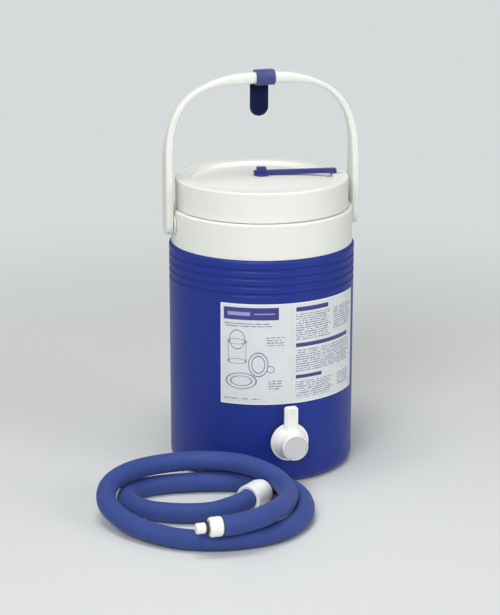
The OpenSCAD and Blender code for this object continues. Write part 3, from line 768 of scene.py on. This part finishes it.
@dataclass(frozen=True)
class PrintedLabel(Finish):
    """Printed film on the jug's front: panels, plain bars, wordless lines and simple drawings."""

    name: str
    foot: float
    height: float
    left_angle: float
    right_angle: float
    radius: float
    fold: float = 71.5
    border: float = 0.9
    paper: Colour = field(default_factory=lambda: srgb(218, 221, 222))
    ink: Colour = field(default_factory=lambda: srgb(52, 50, 128))
    grey: Colour = field(default_factory=lambda: srgb(120, 122, 158))
    pale_ink: Colour = field(default_factory=lambda: srgb(150, 152, 200))
    edge: Colour = field(default_factory=lambda: srgb(236, 238, 240))

    def shaded(self, share: float) -> Colour:
        """The paper's colour at a share of its brightness."""
        return tuple(part * share for part in self.paper)

    def build(self) -> bpy.types.Material:
        """Lays the print out in millimetres from the label's lower left corner."""
        material, work, shader = open_material(self.name)
        place = work.place()
        spot = work.split(place)
        turn = work.math("ARCTAN2", spot["X"], work.math("MULTIPLY", spot["Y"], -1.0))
        start = math.radians(self.left_angle)
        across = work.math("MULTIPLY", work.math("SUBTRACT", turn, start), self.radius / MM)
        up = work.math("MULTIPLY", work.math("SUBTRACT", spot["Z"], self.foot), 1.0 / MM)
        width = (math.radians(self.right_angle) - start) * self.radius / MM
        tall = self.height / MM

        def mask(effect: bpy.types.NodeTree, **values: float) -> Socket:
            """What an effect draws on the label."""
            return work.group(effect, Across=across, Up=up, **values).outputs["Mask"]

        def panel(left: float, right: float, low: float, high: float) -> Socket:
            """Mask of a rectangle."""
            return mask(Effects.panel(), Left=left, Right=right, Low=low, High=high)

        def lines(left: float, right: float, low: float, high: float,
                  pitch: float = 2.3) -> Socket:
            """Mask of a block of wordless lines."""
            return mask(Effects.rule_lines(), Left=left, Right=right, Low=low, High=high,
                        Pitch=pitch)

        def ring(x: float, y: float, wide: float, high: float, line: float) -> Socket:
            """Mask of a drawn ellipse."""
            return mask(Effects.ring(), Centre_Across=x, Centre_Up=y, Wide=wide, Tall=high,
                        Line=line)

        half = self.fold
        bars = work.fold("MAXIMUM", *(panel(*box) for box in (
            (3.4, 58.0, 86.0, 98.4), (half + 4.0, half + 42.0, 93.0, 97.5),
            (half + 4.0, width - 12.0, 57.0, 61.0), (half + 4.0, half + 34.0, 25.0, 28.6))))
        pale_bars = work.fold("MAXIMUM", panel(7.5, 30.0, 90.4, 94.0),
                              panel(33.5, 54.0, 91.6, 92.8))
        words = work.fold("MAXIMUM", *(lines(*box) for box in (
            (half + 4.0, half + 46.0, 64.0, 90.5), (half + 50.0, width - 4.0, 68.0, 90.5),
            (half + 4.0, width - 8.0, 32.0, 54.5), (half + 4.0, half + 52.0, 5.0, 22.5),
            (half + 57.0, width - 5.0, 8.0, 22.0), (4.0, 52.0, 78.0, 83.6, 2.4),
            (3.4, 46.0, 3.5, 6.2, 2.6), (46.0, 66.0, 60.0, 70.0, 2.6),
            (48.0, 66.0, 14.0, 26.0, 2.6))))
        jug_sides = (panel(7.8, 8.4, 44.0, 64.0), panel(25.6, 26.2, 44.0, 64.0))
        drawing = work.fold("MAXIMUM", *jug_sides, *(ring(*shape) for shape in (
            (17.0, 64.0, 9.0, 2.6, 0.10), (17.0, 44.0, 9.0, 2.6, 0.10),
            (17.0, 66.0, 7.6, 9.6, 0.05), (38.0, 41.0, 9.5, 12.0, 0.05),
            (38.0, 41.0, 6.4, 8.6, 0.07), (21.0, 24.0, 15.0, 8.0, 0.05),
            (21.0, 24.0, 10.5, 5.0, 0.07), (50.0, 36.0, 3.4, 3.4, 0.12))))
        margin = panel(half - 0.2, half + 0.2, 3.0, tall - 3.0)
        inside = panel(self.border, width - self.border, self.border, tall - self.border)
        border = work.math("SUBTRACT", panel(0.0, width, 0.0, tall), inside)

        cloud = work.ramp(work.noise(place, scale=90.0), 0.3, 0.8)
        colour = work.mix(cloud, self.paper, self.shaded(0.95))
        for shown, tone in ((words, self.grey), (drawing, self.grey), (margin, self.shaded(0.8)),
                            (bars, self.ink), (pale_bars, self.pale_ink), (border, self.edge)):
            colour = work.mix(shown, colour, tone)
        gloss = work.ramp(work.noise(place, scale=70.0, detail=2.0), 0.3, 0.7, to_low=0.34,
                          to_high=0.44)
        work.fill(shader, Base_Color=colour, Roughness=gloss, Coat_Weight=0.25, Coat_Roughness=0.25)
        wrinkle = work.noise(place, scale=160.0, detail=2.0, stretch=(1.0, 1.0, 0.35))
        work.bump(shader, work.math("ADD", wrinkle, work.math("MULTIPLY", bars, 0.2)), 0.05, 0.0006)
        return material


class Finishes:
    """Every finish of the cooler, built once and handed out by name."""

    def __init__(self) -> None:
        """Builds the materials."""
        fitting_white = srgb(240, 240, 236)
        recipes: list[Finish] = [
            MouldedPlastic("shell_plastic", srgb(34, 52, 136), 0.38, Grain.SATIN, 0.10, 0.25,
                           dust_height=0.012, specular=0.18),
            MouldedPlastic("collar_plastic", srgb(229, 230, 224), 0.42, Grain.SATIN, 0.04, 0.06,
                           0.08),
            MouldedPlastic("lid_plastic", srgb(230, 230, 224), 0.44, Grain.SATIN, 0.04, 0.06, 0.08),
            MouldedPlastic("handle_plastic", srgb(227, 228, 222), 0.4, Grain.POLISHED, 0.03, 0.05,
                           0.08, specular=0.35),
            MouldedPlastic("fitting_plastic", fitting_white, 0.34, Grain.POLISHED, 0.03, 0.08,
                           0.08),
            # The stopper is painted a mid grey instead of the fittings' white, as painted shade on
            # the outlet's face.
            MouldedPlastic("stopper_grey_painted_shade", srgb(206, 207, 208), 0.45, Grain.SPARKED, 0.04, 0.10),
            MouldedPlastic("liner_plastic", fitting_white, 0.28, Grain.POLISHED, 0.03, 0.08, 0.05),
            MouldedPlastic("lever_plastic", srgb(46, 48, 128), 0.3, Grain.POLISHED, 0.06, 0.2),
            FoamCover("hose_foam", srgb(48, 68, 134)),
            LoopFabric("strap_fabric", srgb(44, 50, 104), srgb(100, 106, 156)),
            # The tab's fabric is the strap's loop fabric painted much darker, as painted shade for
            # the tab hanging behind the grip.
            LoopFabric("tab_fabric_painted_shade", srgb(6, 14, 44), srgb(18, 34, 78), 0.12),
            LoopFabric("thread", srgb(20, 26, 70), srgb(46, 54, 110)),
            SealRubber("seal_rubber"),
            DrawnSteel("pin_steel"),
            CastFoam("cast_foam", srgb(226, 206, 150)),
            PrintedLabel("label_print", 0.0845, 0.102, -42.0, 56.0, 0.0935),
        ]
        self._ready = {recipe.name: recipe.build() for recipe in recipes}

    def put(self, piece: Piece, name: str) -> None:
        """Puts a finish on every slot of a piece, without touching its mesh.

        Args:
            piece: The object.
            name: The finish.
        """
        if not piece.material_slots:
            piece.data.materials.append(None)
        for place in piece.material_slots:
            place.link = "OBJECT"
            place.material = self._ready[name]


# ---------------------------------------------------------------- camera, floor and lamps


@dataclass
class Studio:
    """Pale floor and plain soft light, with the camera where the photograph was taken from."""

    eye: Point = (-0.5356, -1.7452, 0.675)
    look: tuple[float, float] = (0.2874, 0.9578)
    pitch: float = 15.84
    roll: float = 0.086
    lens: float = 109.24
    sensor: float = 36.0
    floor_size: float = 16.0
    floor_tone: Colour = field(default_factory=lambda: srgb(214, 216, 214))
    back_tone: Colour = field(default_factory=lambda: srgb(214, 218, 219))
    near: float = 0.3
    far: float = 1.1
    room_tone: Colour = (0.86, 0.88, 0.9)
    room_strength: float = 0.36

    def camera(self) -> None:
        """Sets the camera up."""
        camera = Bench.add(bpy.ops.object.camera_add, "camera", location=self.eye)
        flat = math.hypot(*self.look)
        down = math.tan(math.radians(self.pitch)) * flat
        aim = Vector((self.look[0], self.look[1], -down)).normalized()
        side = aim.cross(Vector((0.0, 0.0, 1.0))).normalized()
        above = side.cross(aim)
        turn = Matrix.Rotation(math.radians(self.roll), 3, "Z")
        basis = Matrix((side, above, -aim)).transposed() @ turn
        camera.rotation_euler = basis.to_euler()
        camera.data.lens = self.lens
        camera.data.sensor_width = self.sensor
        camera.data.clip_start = 0.05
        bpy.context.scene.camera = camera

    def _far_paper(self, work: ShaderTree, shader: bpy.types.Node) -> None:
        """Keeps the far floor as pale as the near one where the camera sees it.

        Args:
            work: The floor's tree.
            shader: Its Principled node.
        """
        away = work.node("ShaderNodeVectorMath", operation="LENGTH")
        work.feed(away.inputs[0], work.place())
        far = work.ramp(away.outputs["Value"], self.near, self.far)
        glow = work.fill(work.node("ShaderNodeEmission"), Color=(*self.back_tone, 1.0))
        work.blend(work.math("MULTIPLY", far, work.seen()), shader.outputs["BSDF"],
                   glow.outputs["Emission"])

    def floor(self) -> None:
        """Lays the floor, whose far part shows the backdrop's own tone to the camera."""
        floor = Bench.add(bpy.ops.mesh.primitive_plane_add, "floor", size=self.floor_size,
                          location=(0.0, 0.0, 0.0))
        material, work, shader = open_material("floor_paper")
        cloud = work.ramp(work.noise(work.place(), scale=1.5), 0.3, 0.7)
        pale = tuple(part * 1.03 for part in self.floor_tone)
        work.fill(shader, Base_Color=work.mix(cloud, self.floor_tone, pale), Roughness=0.55)
        self._far_paper(work, shader)
        floor.data.materials.append(material)

    def lamp(self, name: str, place: Point, size: tuple[float, float], watts: float,
             target: Point = (0.0, 0.0, 0.18)) -> None:
        """Hangs one soft box.

        Args:
            name: Its name.
            place: Where it hangs.
            size: Its width and height.
            watts: Its power.
            target: What it points at.
        """
        lamp = Bench.add(bpy.ops.object.light_add, name, type="AREA", location=place)
        lamp.data.shape = "RECTANGLE"
        lamp.data.size, lamp.data.size_y = size
        lamp.data.energy = watts
        aim = Vector(target) - Vector(place)
        lamp.rotation_euler = aim.to_track_quat("-Z", "Y").to_euler()

    def light(self) -> None:
        """Hangs the lamps and sets the even light of the room, which the camera sees as paper."""
        self.lamp("key_box", (-1.3, -2.0, 1.7), (1.1, 1.1), 36.5)
        self.lamp("fill_box", (1.6, -1.8, 1.1), (1.0, 1.4), 17.0)
        self.lamp("top_box", (-0.3, -0.3, 2.3), (1.2, 1.0), 24.0)
        world = bpy.data.worlds.new("room")
        bpy.context.scene.world = world
        world.use_nodes = True
        work = ShaderTree(world.node_tree)
        room = work.fill(work.find("BACKGROUND"), Color=(*self.room_tone, 1.0),
                         Strength=self.room_strength)
        paper = work.fill(work.node("ShaderNodeBackground"), Color=(*self.back_tone, 1.0))
        work.blend(work.seen(), room.outputs["Background"], paper.outputs["Background"])

    def build(self) -> None:
        """Builds the whole studio."""
        self.camera()
        self.floor()
        self.light()
        bpy.context.scene.view_settings.view_transform = "Standard"
        log.info("studio ready")


# ---------------------------------------------------------------- hose


@dataclass
class Hose:
    """The foam-covered hose, lying in a double loop, and its two end fittings."""

    diameter: float = 0.019
    sleeve_at: Point = (-59.0, -151.0, 13.1)
    sleeve_turn: float = 40.0
    cup: float = 2.7
    coupler_at: Point = (-110.2, -243.0, 27.9)
    seat: float = 0.3
    steps: int = 8
    facets: int = 8
    middle: tuple[Point, ...] = (
        (-78, -162, 12), (-97, -165, 10), (-116, -163, 9.7), (-138, -155, 9.7),
        (-156.5, -142, 9.7), (-167.5, -122, 9.7), (-167, -105, 9.7), (-158.5, -92, 9.7),
        (-146, -85.5, 9.7), (-129, -83, 9.7), (-108, -84, 9.7), (-75, -90, 9.7),
        (-43, -101, 9.7), (-17, -116, 9.7), (-6.5, -143, 9.7), (-11, -179, 9.7),
        (-28.5, -210, 9.7), (-59, -231, 9.7), (-104, -234, 9.7), (-146, -217, 9.8),
        (-177, -183, 11.5), (-191, -150, 16), (-192, -128, 21), (-182, -106, 26),
        (-160, -90, 29.6), (-128, -79, 29.6), (-89, -80, 29.6), (-54, -97, 29.6),
        (-33, -121, 27.2), (-23.5, -145, 23.6), (-26, -174, 22.2), (-42, -207, 26),
        (-66, -233, 29.6), (-84, -241, 29.2))

    def route(self) -> list[Vector]:
        """The centreline's points from the sleeve to the coupler, in metres."""
        turn = math.radians(self.sleeve_turn)
        out = Vector((math.cos(turn), math.sin(turn), 0.0))
        mouth = Vector(self.sleeve_at)
        away = Vector((-1.0, 0.0, 0.0))
        end = Vector(self.coupler_at)
        points = [mouth + out * self.cup, mouth - out * 3.0, mouth - out * 9.0]
        points += [Vector(point) for point in self.middle]
        points += [end - away * 10.0, end - away * 4.0, end - away * self.seat]
        return [point * MM for point in points]

    def cover(self) -> Piece:
        """Runs the foam-covered tube along the route and returns it."""
        points = self.route()
        tube = Bench.add(bpy.ops.curve.primitive_bezier_curve_add, "hose_cover",
                         location=(0.0, 0.0, 0.0))
        curve = tube.data
        curve.dimensions = "3D"
        curve.splines.clear()
        spline = curve.splines.new("BEZIER")
        spline.bezier_points.add(len(points) - 1)
        ends = [points[0], *points, points[-1]]
        for index, knot in enumerate(spline.bezier_points):
            before, here, after = ends[index:index + 3]
            slope = (after - before) / 6.0  # the third of half the way between the neighbours
            knot.handle_left_type = knot.handle_right_type = "FREE"
            knot.co = here
            knot.handle_left = here - slope
            knot.handle_right = here + slope
        curve.resolution_u = self.steps
        curve.bevel_depth = self.diameter / 2.0
        curve.bevel_resolution = self.facets
        curve.use_fill_caps = True
        return tube

    def length(self, steps: int = 24) -> float:
        """Measures the route as it is drawn.

        Args:
            steps: Straight pieces to each stretch.

        Returns:
            Its length in metres.
        """
        points = self.route()
        ends = [points[0], *points, points[-1]]
        total = 0.0
        for index in range(1, len(ends) - 2):
            p, q, r, s = ends[index - 1:index + 3]
            last = q
            for step in range(1, steps + 1):
                u = step / steps
                here = 0.5 * (2 * q + (r - p) * u + (2 * p - 5 * q + 4 * r - s) * u * u
                              + (3 * q - p - 3 * r + s) * u * u * u)
                total += (here - last).length
                last = here
        return total

    def build(self, finishes: Finishes) -> None:
        """Builds the hose and dresses its fittings."""
        tube = self.cover()
        finishes.put(tube, "hose_foam")
        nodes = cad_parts
        for name, finish in (
                ("hose_sleeve", "fitting_plastic"), ("hose_coupler", "fitting_plastic"),
                ("coupler_nipple", "fitting_plastic"), ("coupler_ring", "seal_rubber")):
            finishes.put(nodes[name], finish)
        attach(tube, Body.JUG.value)
        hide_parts("hose_tube")
        start = self.route()[0]
        self.length()
        log.info("hose: %.3f m of %.0f mm tube", self.length(), self.diameter / MM)


# ---------------------------------------------------------------- handle and strap


@dataclass
class Bail:
    """The carry handle: two flat arms that narrow into a full round grip."""

    pivot_z: float = 250.0
    arm_inner: float = 92.8
    arm_thick: float = 7.6
    arm_deep: float = 20.0
    grip_rise: float = 136.2
    grip_thick: float = 11.7
    grip_deep: float = 13.0
    arch_lift: float = 50.0
    arch_power: float = 3.0
    grip_power: float = 2.8
    sides: int = 24
    steps: int = 56

    @property
    def grip_z(self) -> float:
        """Height of the grip's middle."""
        return self.pivot_z + self.grip_rise + self.grip_thick / 2.0

    def thick(self, x: float) -> float:
        """Thickness of the bail at a distance from the middle."""
        share = abs(x) / (self.arm_inner + self.arm_thick / 2.0)
        return between(share, [(0.0, self.grip_thick), (0.3, self.grip_thick * 0.92),
                               (0.62, self.arm_thick * 0.74), (0.88, self.arm_thick * 0.88),
                               (1.0, self.arm_thick)])

    def risen(self, z: float) -> float:
        """Share of the arch's rise that lies below a height."""
        return (z - self.pivot_z - self.arch_lift) / (self.grip_z - self.pivot_z - self.arch_lift)

    def deep(self, z: float) -> float:
        """Depth of the bail at a height on the arch."""
        return between(self.risen(z), [(0.0, self.arm_deep * 0.95), (0.2, self.arm_deep * 0.82),
                                       (0.45, self.arm_deep * 0.6), (0.8, self.arm_deep * 0.43),
                                       (0.93, self.arm_deep * 0.45), (1.0, self.grip_deep)])

    def power(self, z: float) -> float:
        """How square the section is at a height: flat-sided arms and a rounder grip."""
        return between(self.risen(z), [(0.0, 5.5), (0.6, 3.8), (1.0, self.grip_power)])

    def stations(self) -> list[Station]:
        """Place, heading, thickness and depth of each section, from right to left."""
        half = self.arm_inner + self.arm_thick / 2.0
        foot = self.pivot_z + self.arch_lift
        rise = self.grip_z - foot
        radius = self.arm_deep / 2.0
        arm: list[tuple[float, float, float]] = []
        for step in range(1, 8):
            drop = radius * math.cos(math.radians(90.0 * step / 7.5))
            width = 2.0 * math.sqrt(max(radius * radius - drop * drop, 0.0))
            edge = min(1.0, 0.80 + 0.2 * step / 4.0)
            arm.append((self.pivot_z - drop, self.arm_thick * edge, width))
        for rise_by, share in ((4.0, 1.0), (14.0, 1.0), (26.0, 0.995), (38.0, 0.98)):
            arm.append((self.pivot_z + rise_by, self.arm_thick, self.arm_deep * share))
        right, left = (
            [(Vector((side * half, 0.0, z)), Vector((0.0, 0.0, side)), thick, deep)
             for z, thick, deep in part] for side, part in ((1.0, arm), (-1.0, arm[::-1])))

        def at(angle: float) -> Vector:
            """Centreline of the arch."""
            x, z = squircle(half, rise, self.arch_power, math.radians(angle))
            return Vector((x, 0.0, foot + max(z, 0.0)))

        arch = []
        for step in range(self.steps + 1):
            share = step / self.steps
            angle = 180.0 * (share - 0.28 * math.sin(4.0 * math.pi * share) / (4.0 * math.pi))
            here = at(angle)
            heading = (at(min(angle + 0.5, 180.0)) - at(max(angle - 0.5, 0.0))).normalized()
            arch.append((here, heading, self.thick(here.x), self.deep(here.z)))
        return right + arch + left

    def model(self) -> Piece:
        """Draws the section at the right arm's end and extrudes it over to the left one's."""
        stations = self.stations()
        first = stations[0]
        bail = Bench.add(bpy.ops.mesh.primitive_circle_add, "bail", vertices=self.sides, radius=1.0,
                         fill_type="NGON", location=first[0] * MM)
        bpy.ops.object.transform_apply(location=True)
        bpy.ops.object.mode_set(mode="EDIT")
        mesh = bmesh.from_edit_mesh(bail.data)
        layer = mesh.verts.layers.float.new("angle")
        centre = first[0] * MM
        for vertex in mesh.verts:
            vertex[layer] = math.atan2(vertex.co.y - centre.y, vertex.co.x - centre.x)

        def put_ring(station: Station) -> None:
            """Sets the selected ring onto a station."""
            place, heading, thick, deep = station
            ring_mesh = bmesh.from_edit_mesh(bail.data)
            key = ring_mesh.verts.layers.float["angle"]
            across = Vector((heading.z, 0.0, -heading.x))
            for vertex in ring_mesh.verts:
                if vertex.select:
                    a, b = squircle(thick / 2.0, deep / 2.0, self.power(place.z), vertex[key])
                    vertex.co = (place + across * a + Vector((0.0, b, 0.0))) * MM
            bmesh.update_edit_mesh(bail.data)

        bpy.ops.mesh.select_all(action="SELECT")
        put_ring(first)
        for before, station in zip(stations, stations[1:]):
            step = (station[0] - before[0]) * MM
            bpy.ops.mesh.extrude_region_move(TRANSFORM_OT_translate={"value": step})
            put_ring(station)
        bpy.ops.object.mode_set(mode="OBJECT")
        smooth = bail.modifiers.new("smooth", "SUBSURF")
        smooth.levels = smooth.render_levels = 1
        Bench.apply_modifiers(bail)
        return Bench.settle(bail, smooth_angle=50.0)

    def build(self, finishes: Finishes) -> None:
        """Builds the bail and dresses its pivots."""
        bail = self.model()
        finishes.put(bail, "handle_plastic")
        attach(bail, Body.HANDLE.value)
        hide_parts("handle")
        for name in ("trunnion_left", "trunnion_right"):
            finishes.put(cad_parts[name], "collar_plastic")
        log.info("bail: grip at %.1f mm", self.grip_z)


@dataclass
class Strap:
    """Hook-and-loop strap: one turn round the grip, a lapped end behind it, and a hanging tab."""

    bail: Bail
    width: float = 19.5
    shift: float = 2.2
    slack: float = 0.35
    cloth: float = 1.15
    tab_back: float = 8.94
    tab_cloth: float = 0.9
    tab_drop: float = 34.0
    lap_cloth: float = 0.5
    stitch: float = 1.5
    stitch_inset: float = 1.9
    columns: int = 10

    @property
    def tab_low(self) -> float:
        """Height of the tab's lower end."""
        return self.bail.pivot_z + self.bail.grip_rise - self.tab_drop

    @property
    def tab_high(self) -> float:
        """Height of the tab's top, behind the grip."""
        return self.bail.grip_z + 3.0

    @property
    def tab_half(self) -> float:
        """Half the tab's width."""
        return self.width / 2.0 - 0.3

    def outline(self, stand: float, angle: float) -> tuple[float, float]:
        """Point that stands off the grip's outline.

        Args:
            stand: How far, in millimetres.
            angle: Where on the outline, in radians.

        Returns:
            How far it lies behind the grip's middle and above it.
        """
        return squircle(self.bail.grip_deep / 2.0 + stand, self.bail.grip_thick / 2.0 + stand,
                        self.bail.grip_power, angle)

    def band(self) -> Piece:
        """Wraps the band round the grip and returns it."""
        band = Bench.add(bpy.ops.mesh.primitive_circle_add, "strap_band", vertices=48, radius=1.0,
                         fill_type="NOTHING", location=(0.0, 0.0, 0.0))
        start = self.shift - self.width / 2.0

        def wrap(place: Vector) -> Vector:
            """Lays one vertex of the circle on the grip's outline."""
            a, b = self.outline(self.slack, math.atan2(place.y, place.x))
            return Vector((start, a, self.bail.grip_z + b)) * MM

        Bench.shape(band, wrap)
        bpy.ops.object.mode_set(mode="EDIT")
        bpy.ops.mesh.select_all(action="SELECT")
        for _ in range(self.columns):
            bpy.ops.mesh.extrude_region_move(
                TRANSFORM_OT_translate={"value": (self.width / self.columns * MM, 0.0, 0.0)})
        bpy.ops.object.mode_set(mode="OBJECT")

        def relax(place: Vector) -> Vector:
            """Lets the cloth's edges lift a little and its turn wander by a hair."""
            x = place.x / MM - self.shift
            out = Vector((0.0, place.y, place.z - self.bail.grip_z * MM)).normalized()
            lift = 0.10 * (abs(x) / (self.width / 2.0)) ** 6
            wander = 0.03 * math.sin(x * 0.9 + 3.0 * math.atan2(out.z, out.y))
            return place + out * (lift + wander) * MM

        Bench.shape(band, relax)
        return Bench.cloth(band, self.cloth, edge=0.35)

    def lap(self) -> Piece:
        """Lays the strap's end over its own turn, from below the grip's back to its top."""
        first, last = math.radians(-52.0), math.radians(118.0)
        stand = self.slack + self.cloth - 0.05
        lap = Bench.add(bpy.ops.mesh.primitive_grid_add, "strap_lap", x_subdivisions=10,
                        y_subdivisions=30, size=2.0, location=(0.0, 0.0, 0.0))

        def lay(place: Vector) -> Vector:
            """Maps the grid onto the turn below it, its end corners cut round."""
            share = (place.y + 1.0) / 2.0
            end = max(0.0, share - 0.9) / 0.1
            reach = (self.width / 2.0 - 0.25) * (1.0 - 0.22 * end * end)
            a, b = self.outline(stand, first + (last - first) * share)
            return Vector((self.shift + place.x * reach, a, self.bail.grip_z + b)) * MM

        Bench.shape(lap, lay)
        return Bench.cloth(lap, self.lap_cloth)

    def tab_point(self, across: float, share: float) -> Vector:
        """Point of the hanging tab's front face.

        Args:
            across: From -1 at its left edge to 1 at its right one.
            share: From 0 at its lower end to 1 at its top.

        Returns:
            The point, in metres.
        """
        low, half = self.tab_low, self.tab_half
        z = low + (self.tab_high - low) * share
        fall = max(0.0, low + half - z)
        reach = math.sqrt(max(half * half - fall * fall, 0.0))
        curl = 0.35 * max(0.0, 1.0 - share * 1.6) ** 2 - 0.10 * math.cos(across * math.pi / 2.0)
        return Vector((across * reach, self.tab_back + 0.25 + curl, z)) * MM

    def tab(self) -> Piece:
        """Cuts the hanging tab with its round end and lets it curl a little."""
        tab = Bench.add(bpy.ops.mesh.primitive_grid_add, "strap_hanging_tab", x_subdivisions=16,
                        y_subdivisions=34, size=2.0, location=(0.0, 0.0, 0.0))
        Bench.shape(tab, lambda place: self.tab_point(place.x, (place.y + 1.0) / 2.0))
        return Bench.cloth(tab, self.tab_cloth)

    def tab_area(self) -> float:
        """Flat area of the tab: a strip with a half-round end."""
        half = self.tab_half
        long = self.tab_high - self.tab_low
        return (2.0 * half * (long - half) + math.pi * half * half / 2.0) * MM * MM

    def stitch_rows(self, name: str, spots: Sequence[Place]) -> Piece:
        """Sews one stitch at every spot.

        Args:
            name: Name of the joined stitches.
            spots: Place and heading of each stitch.

        Returns:
            All stitches as one object.
        """
        model = Bench.add(bpy.ops.mesh.primitive_uv_sphere_add, name + "_model", segments=8,
                          ring_count=6, radius=1.0, location=(0.0, 0.0, 0.0))
        model.scale = (self.stitch / 2.0 * MM, 0.2 * MM, 0.2 * MM)
        bpy.ops.object.transform_apply(scale=True)
        made = []
        for place, heading in spots:
            copy = model.copy()
            copy.data = model.data.copy()
            bpy.context.collection.objects.link(copy)
            copy.rotation_euler = heading.to_track_quat("X", "Z").to_euler()
            copy.location = place
            made.append(copy)
        bpy.data.objects.remove(model)
        return Bench.settle(Bench.join(made, name), smooth_angle=60.0)

    def band_spots(self) -> list[Place]:
        """Two rows across the lap, on top of the grip."""
        top = self.bail.grip_z + self.bail.grip_thick / 2.0 + self.slack + self.cloth
        top += self.lap_cloth - 0.05
        along = Vector((1.0, 0.0, 0.0))
        return [(Vector((self.shift + (step - 3.5) * 2.2, row, top)) * MM, along)
                for row in (-0.9, 2.6) for step in range(8)]

    def tab_spots(self) -> list[Place]:
        """A row along the tab's edge, down one side, round the end and up the other."""
        inset = self.stitch_inset / (self.width / 2.0)
        path = [self.tab_point(-1.0 + inset, 0.98 - 0.045 * step) for step in range(17)]
        centre = Vector((0.0, path[-1].y, (self.tab_low + self.tab_half) * MM))
        radius = (self.tab_half - self.stitch_inset) * MM
        angles = [math.pi * step / 14.0 for step in range(15)]
        turn = [centre - Vector((math.cos(angle), 0.0, math.sin(angle))) * radius
                for angle in angles]
        path = [point for point in path if point.z > centre.z] + turn
        path += [Vector((-point.x, point.y, point.z)) for point in reversed(path)
                 if point.z > centre.z]
        spots = []
        for here, after in zip(path, path[1:]):
            heading = after - here
            count = max(1, round(heading.length / (self.stitch * 1.45 * MM)))
            for step in range(count):
                spots.append((here + heading * ((step + 0.5) / count), heading.normalized()))
        return spots

    def build(self, finishes: Finishes) -> None:
        """Builds the band with its lap, the tab, and the stitches on both."""
        band = self.band()
        lap = self.lap()
        band_thread = self.stitch_rows("strap_band_stitches", self.band_spots())
        tab = self.tab()
        tab_thread = self.stitch_rows("strap_tab_stitches", self.tab_spots())
        # The tab gets the darker fabric, which is painted shade.
        for piece, finish, body in (
                (band, "strap_fabric", Body.HANDLE), (lap, "strap_fabric", Body.HANDLE),
                (band_thread, "thread", Body.HANDLE), (tab, "tab_fabric_painted_shade", Body.STRAP_TAB),
                (tab_thread, "thread", Body.STRAP_TAB)):
            finishes.put(piece, finish)
            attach(piece, body.value)
        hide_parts("handle_strap")
        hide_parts("strap_tab")
        log.info("strap: band, lap and tab of %.2f cm2", self.tab_area() * 1e4)


# ---------------------------------------------------------------- carried-over pieces


@dataclass
class CarriedPieces:
    """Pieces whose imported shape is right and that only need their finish."""

    finish_of: dict[str, str] = field(default_factory=lambda: {
        "outer_shell": "shell_plastic", "base_plug": "shell_plastic", "foam_core": "cast_foam",
        "lid_foam": "cast_foam", "inner_liner": "liner_plastic", "lid_pan": "liner_plastic",
        "collar": "collar_plastic", "lid_shell": "lid_plastic", "lid_gasket": "seal_rubber",
        "vent_lever": "lever_plastic", "vent_stopper": "seal_rubber", "vent_pin": "pin_steel",
        "outlet_body": "fitting_plastic", "outlet_gasket": "seal_rubber",
        "outlet_washer": "seal_rubber", "outlet_locknut": "fitting_plastic",
        "outlet_tap": "fitting_plastic", "tap_ring": "seal_rubber",
        "outlet_stopper": "stopper_grey_painted_shade", "front_label": "label_print"})

    def build(self, finishes: Finishes) -> None:
        """Puts each finish on its piece."""
        for node, finish in self.finish_of.items():
            finishes.put(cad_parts[node], finish)
            log.info("%s: %s", node, finish)


def main() -> None:
    """Builds the camera and the hose first, then every other piece in order."""
    logging.basicConfig(level=logging.INFO, format="%(name)s %(message)s")
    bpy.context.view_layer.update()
    studio = Studio()
    studio.build()
    finishes = Finishes()
    bail = Bail()
    for assembly in (Hose(), bail, Strap(bail), CarriedPieces()):
        assembly.build(finishes)


if __name__ == "__main__":
    main()
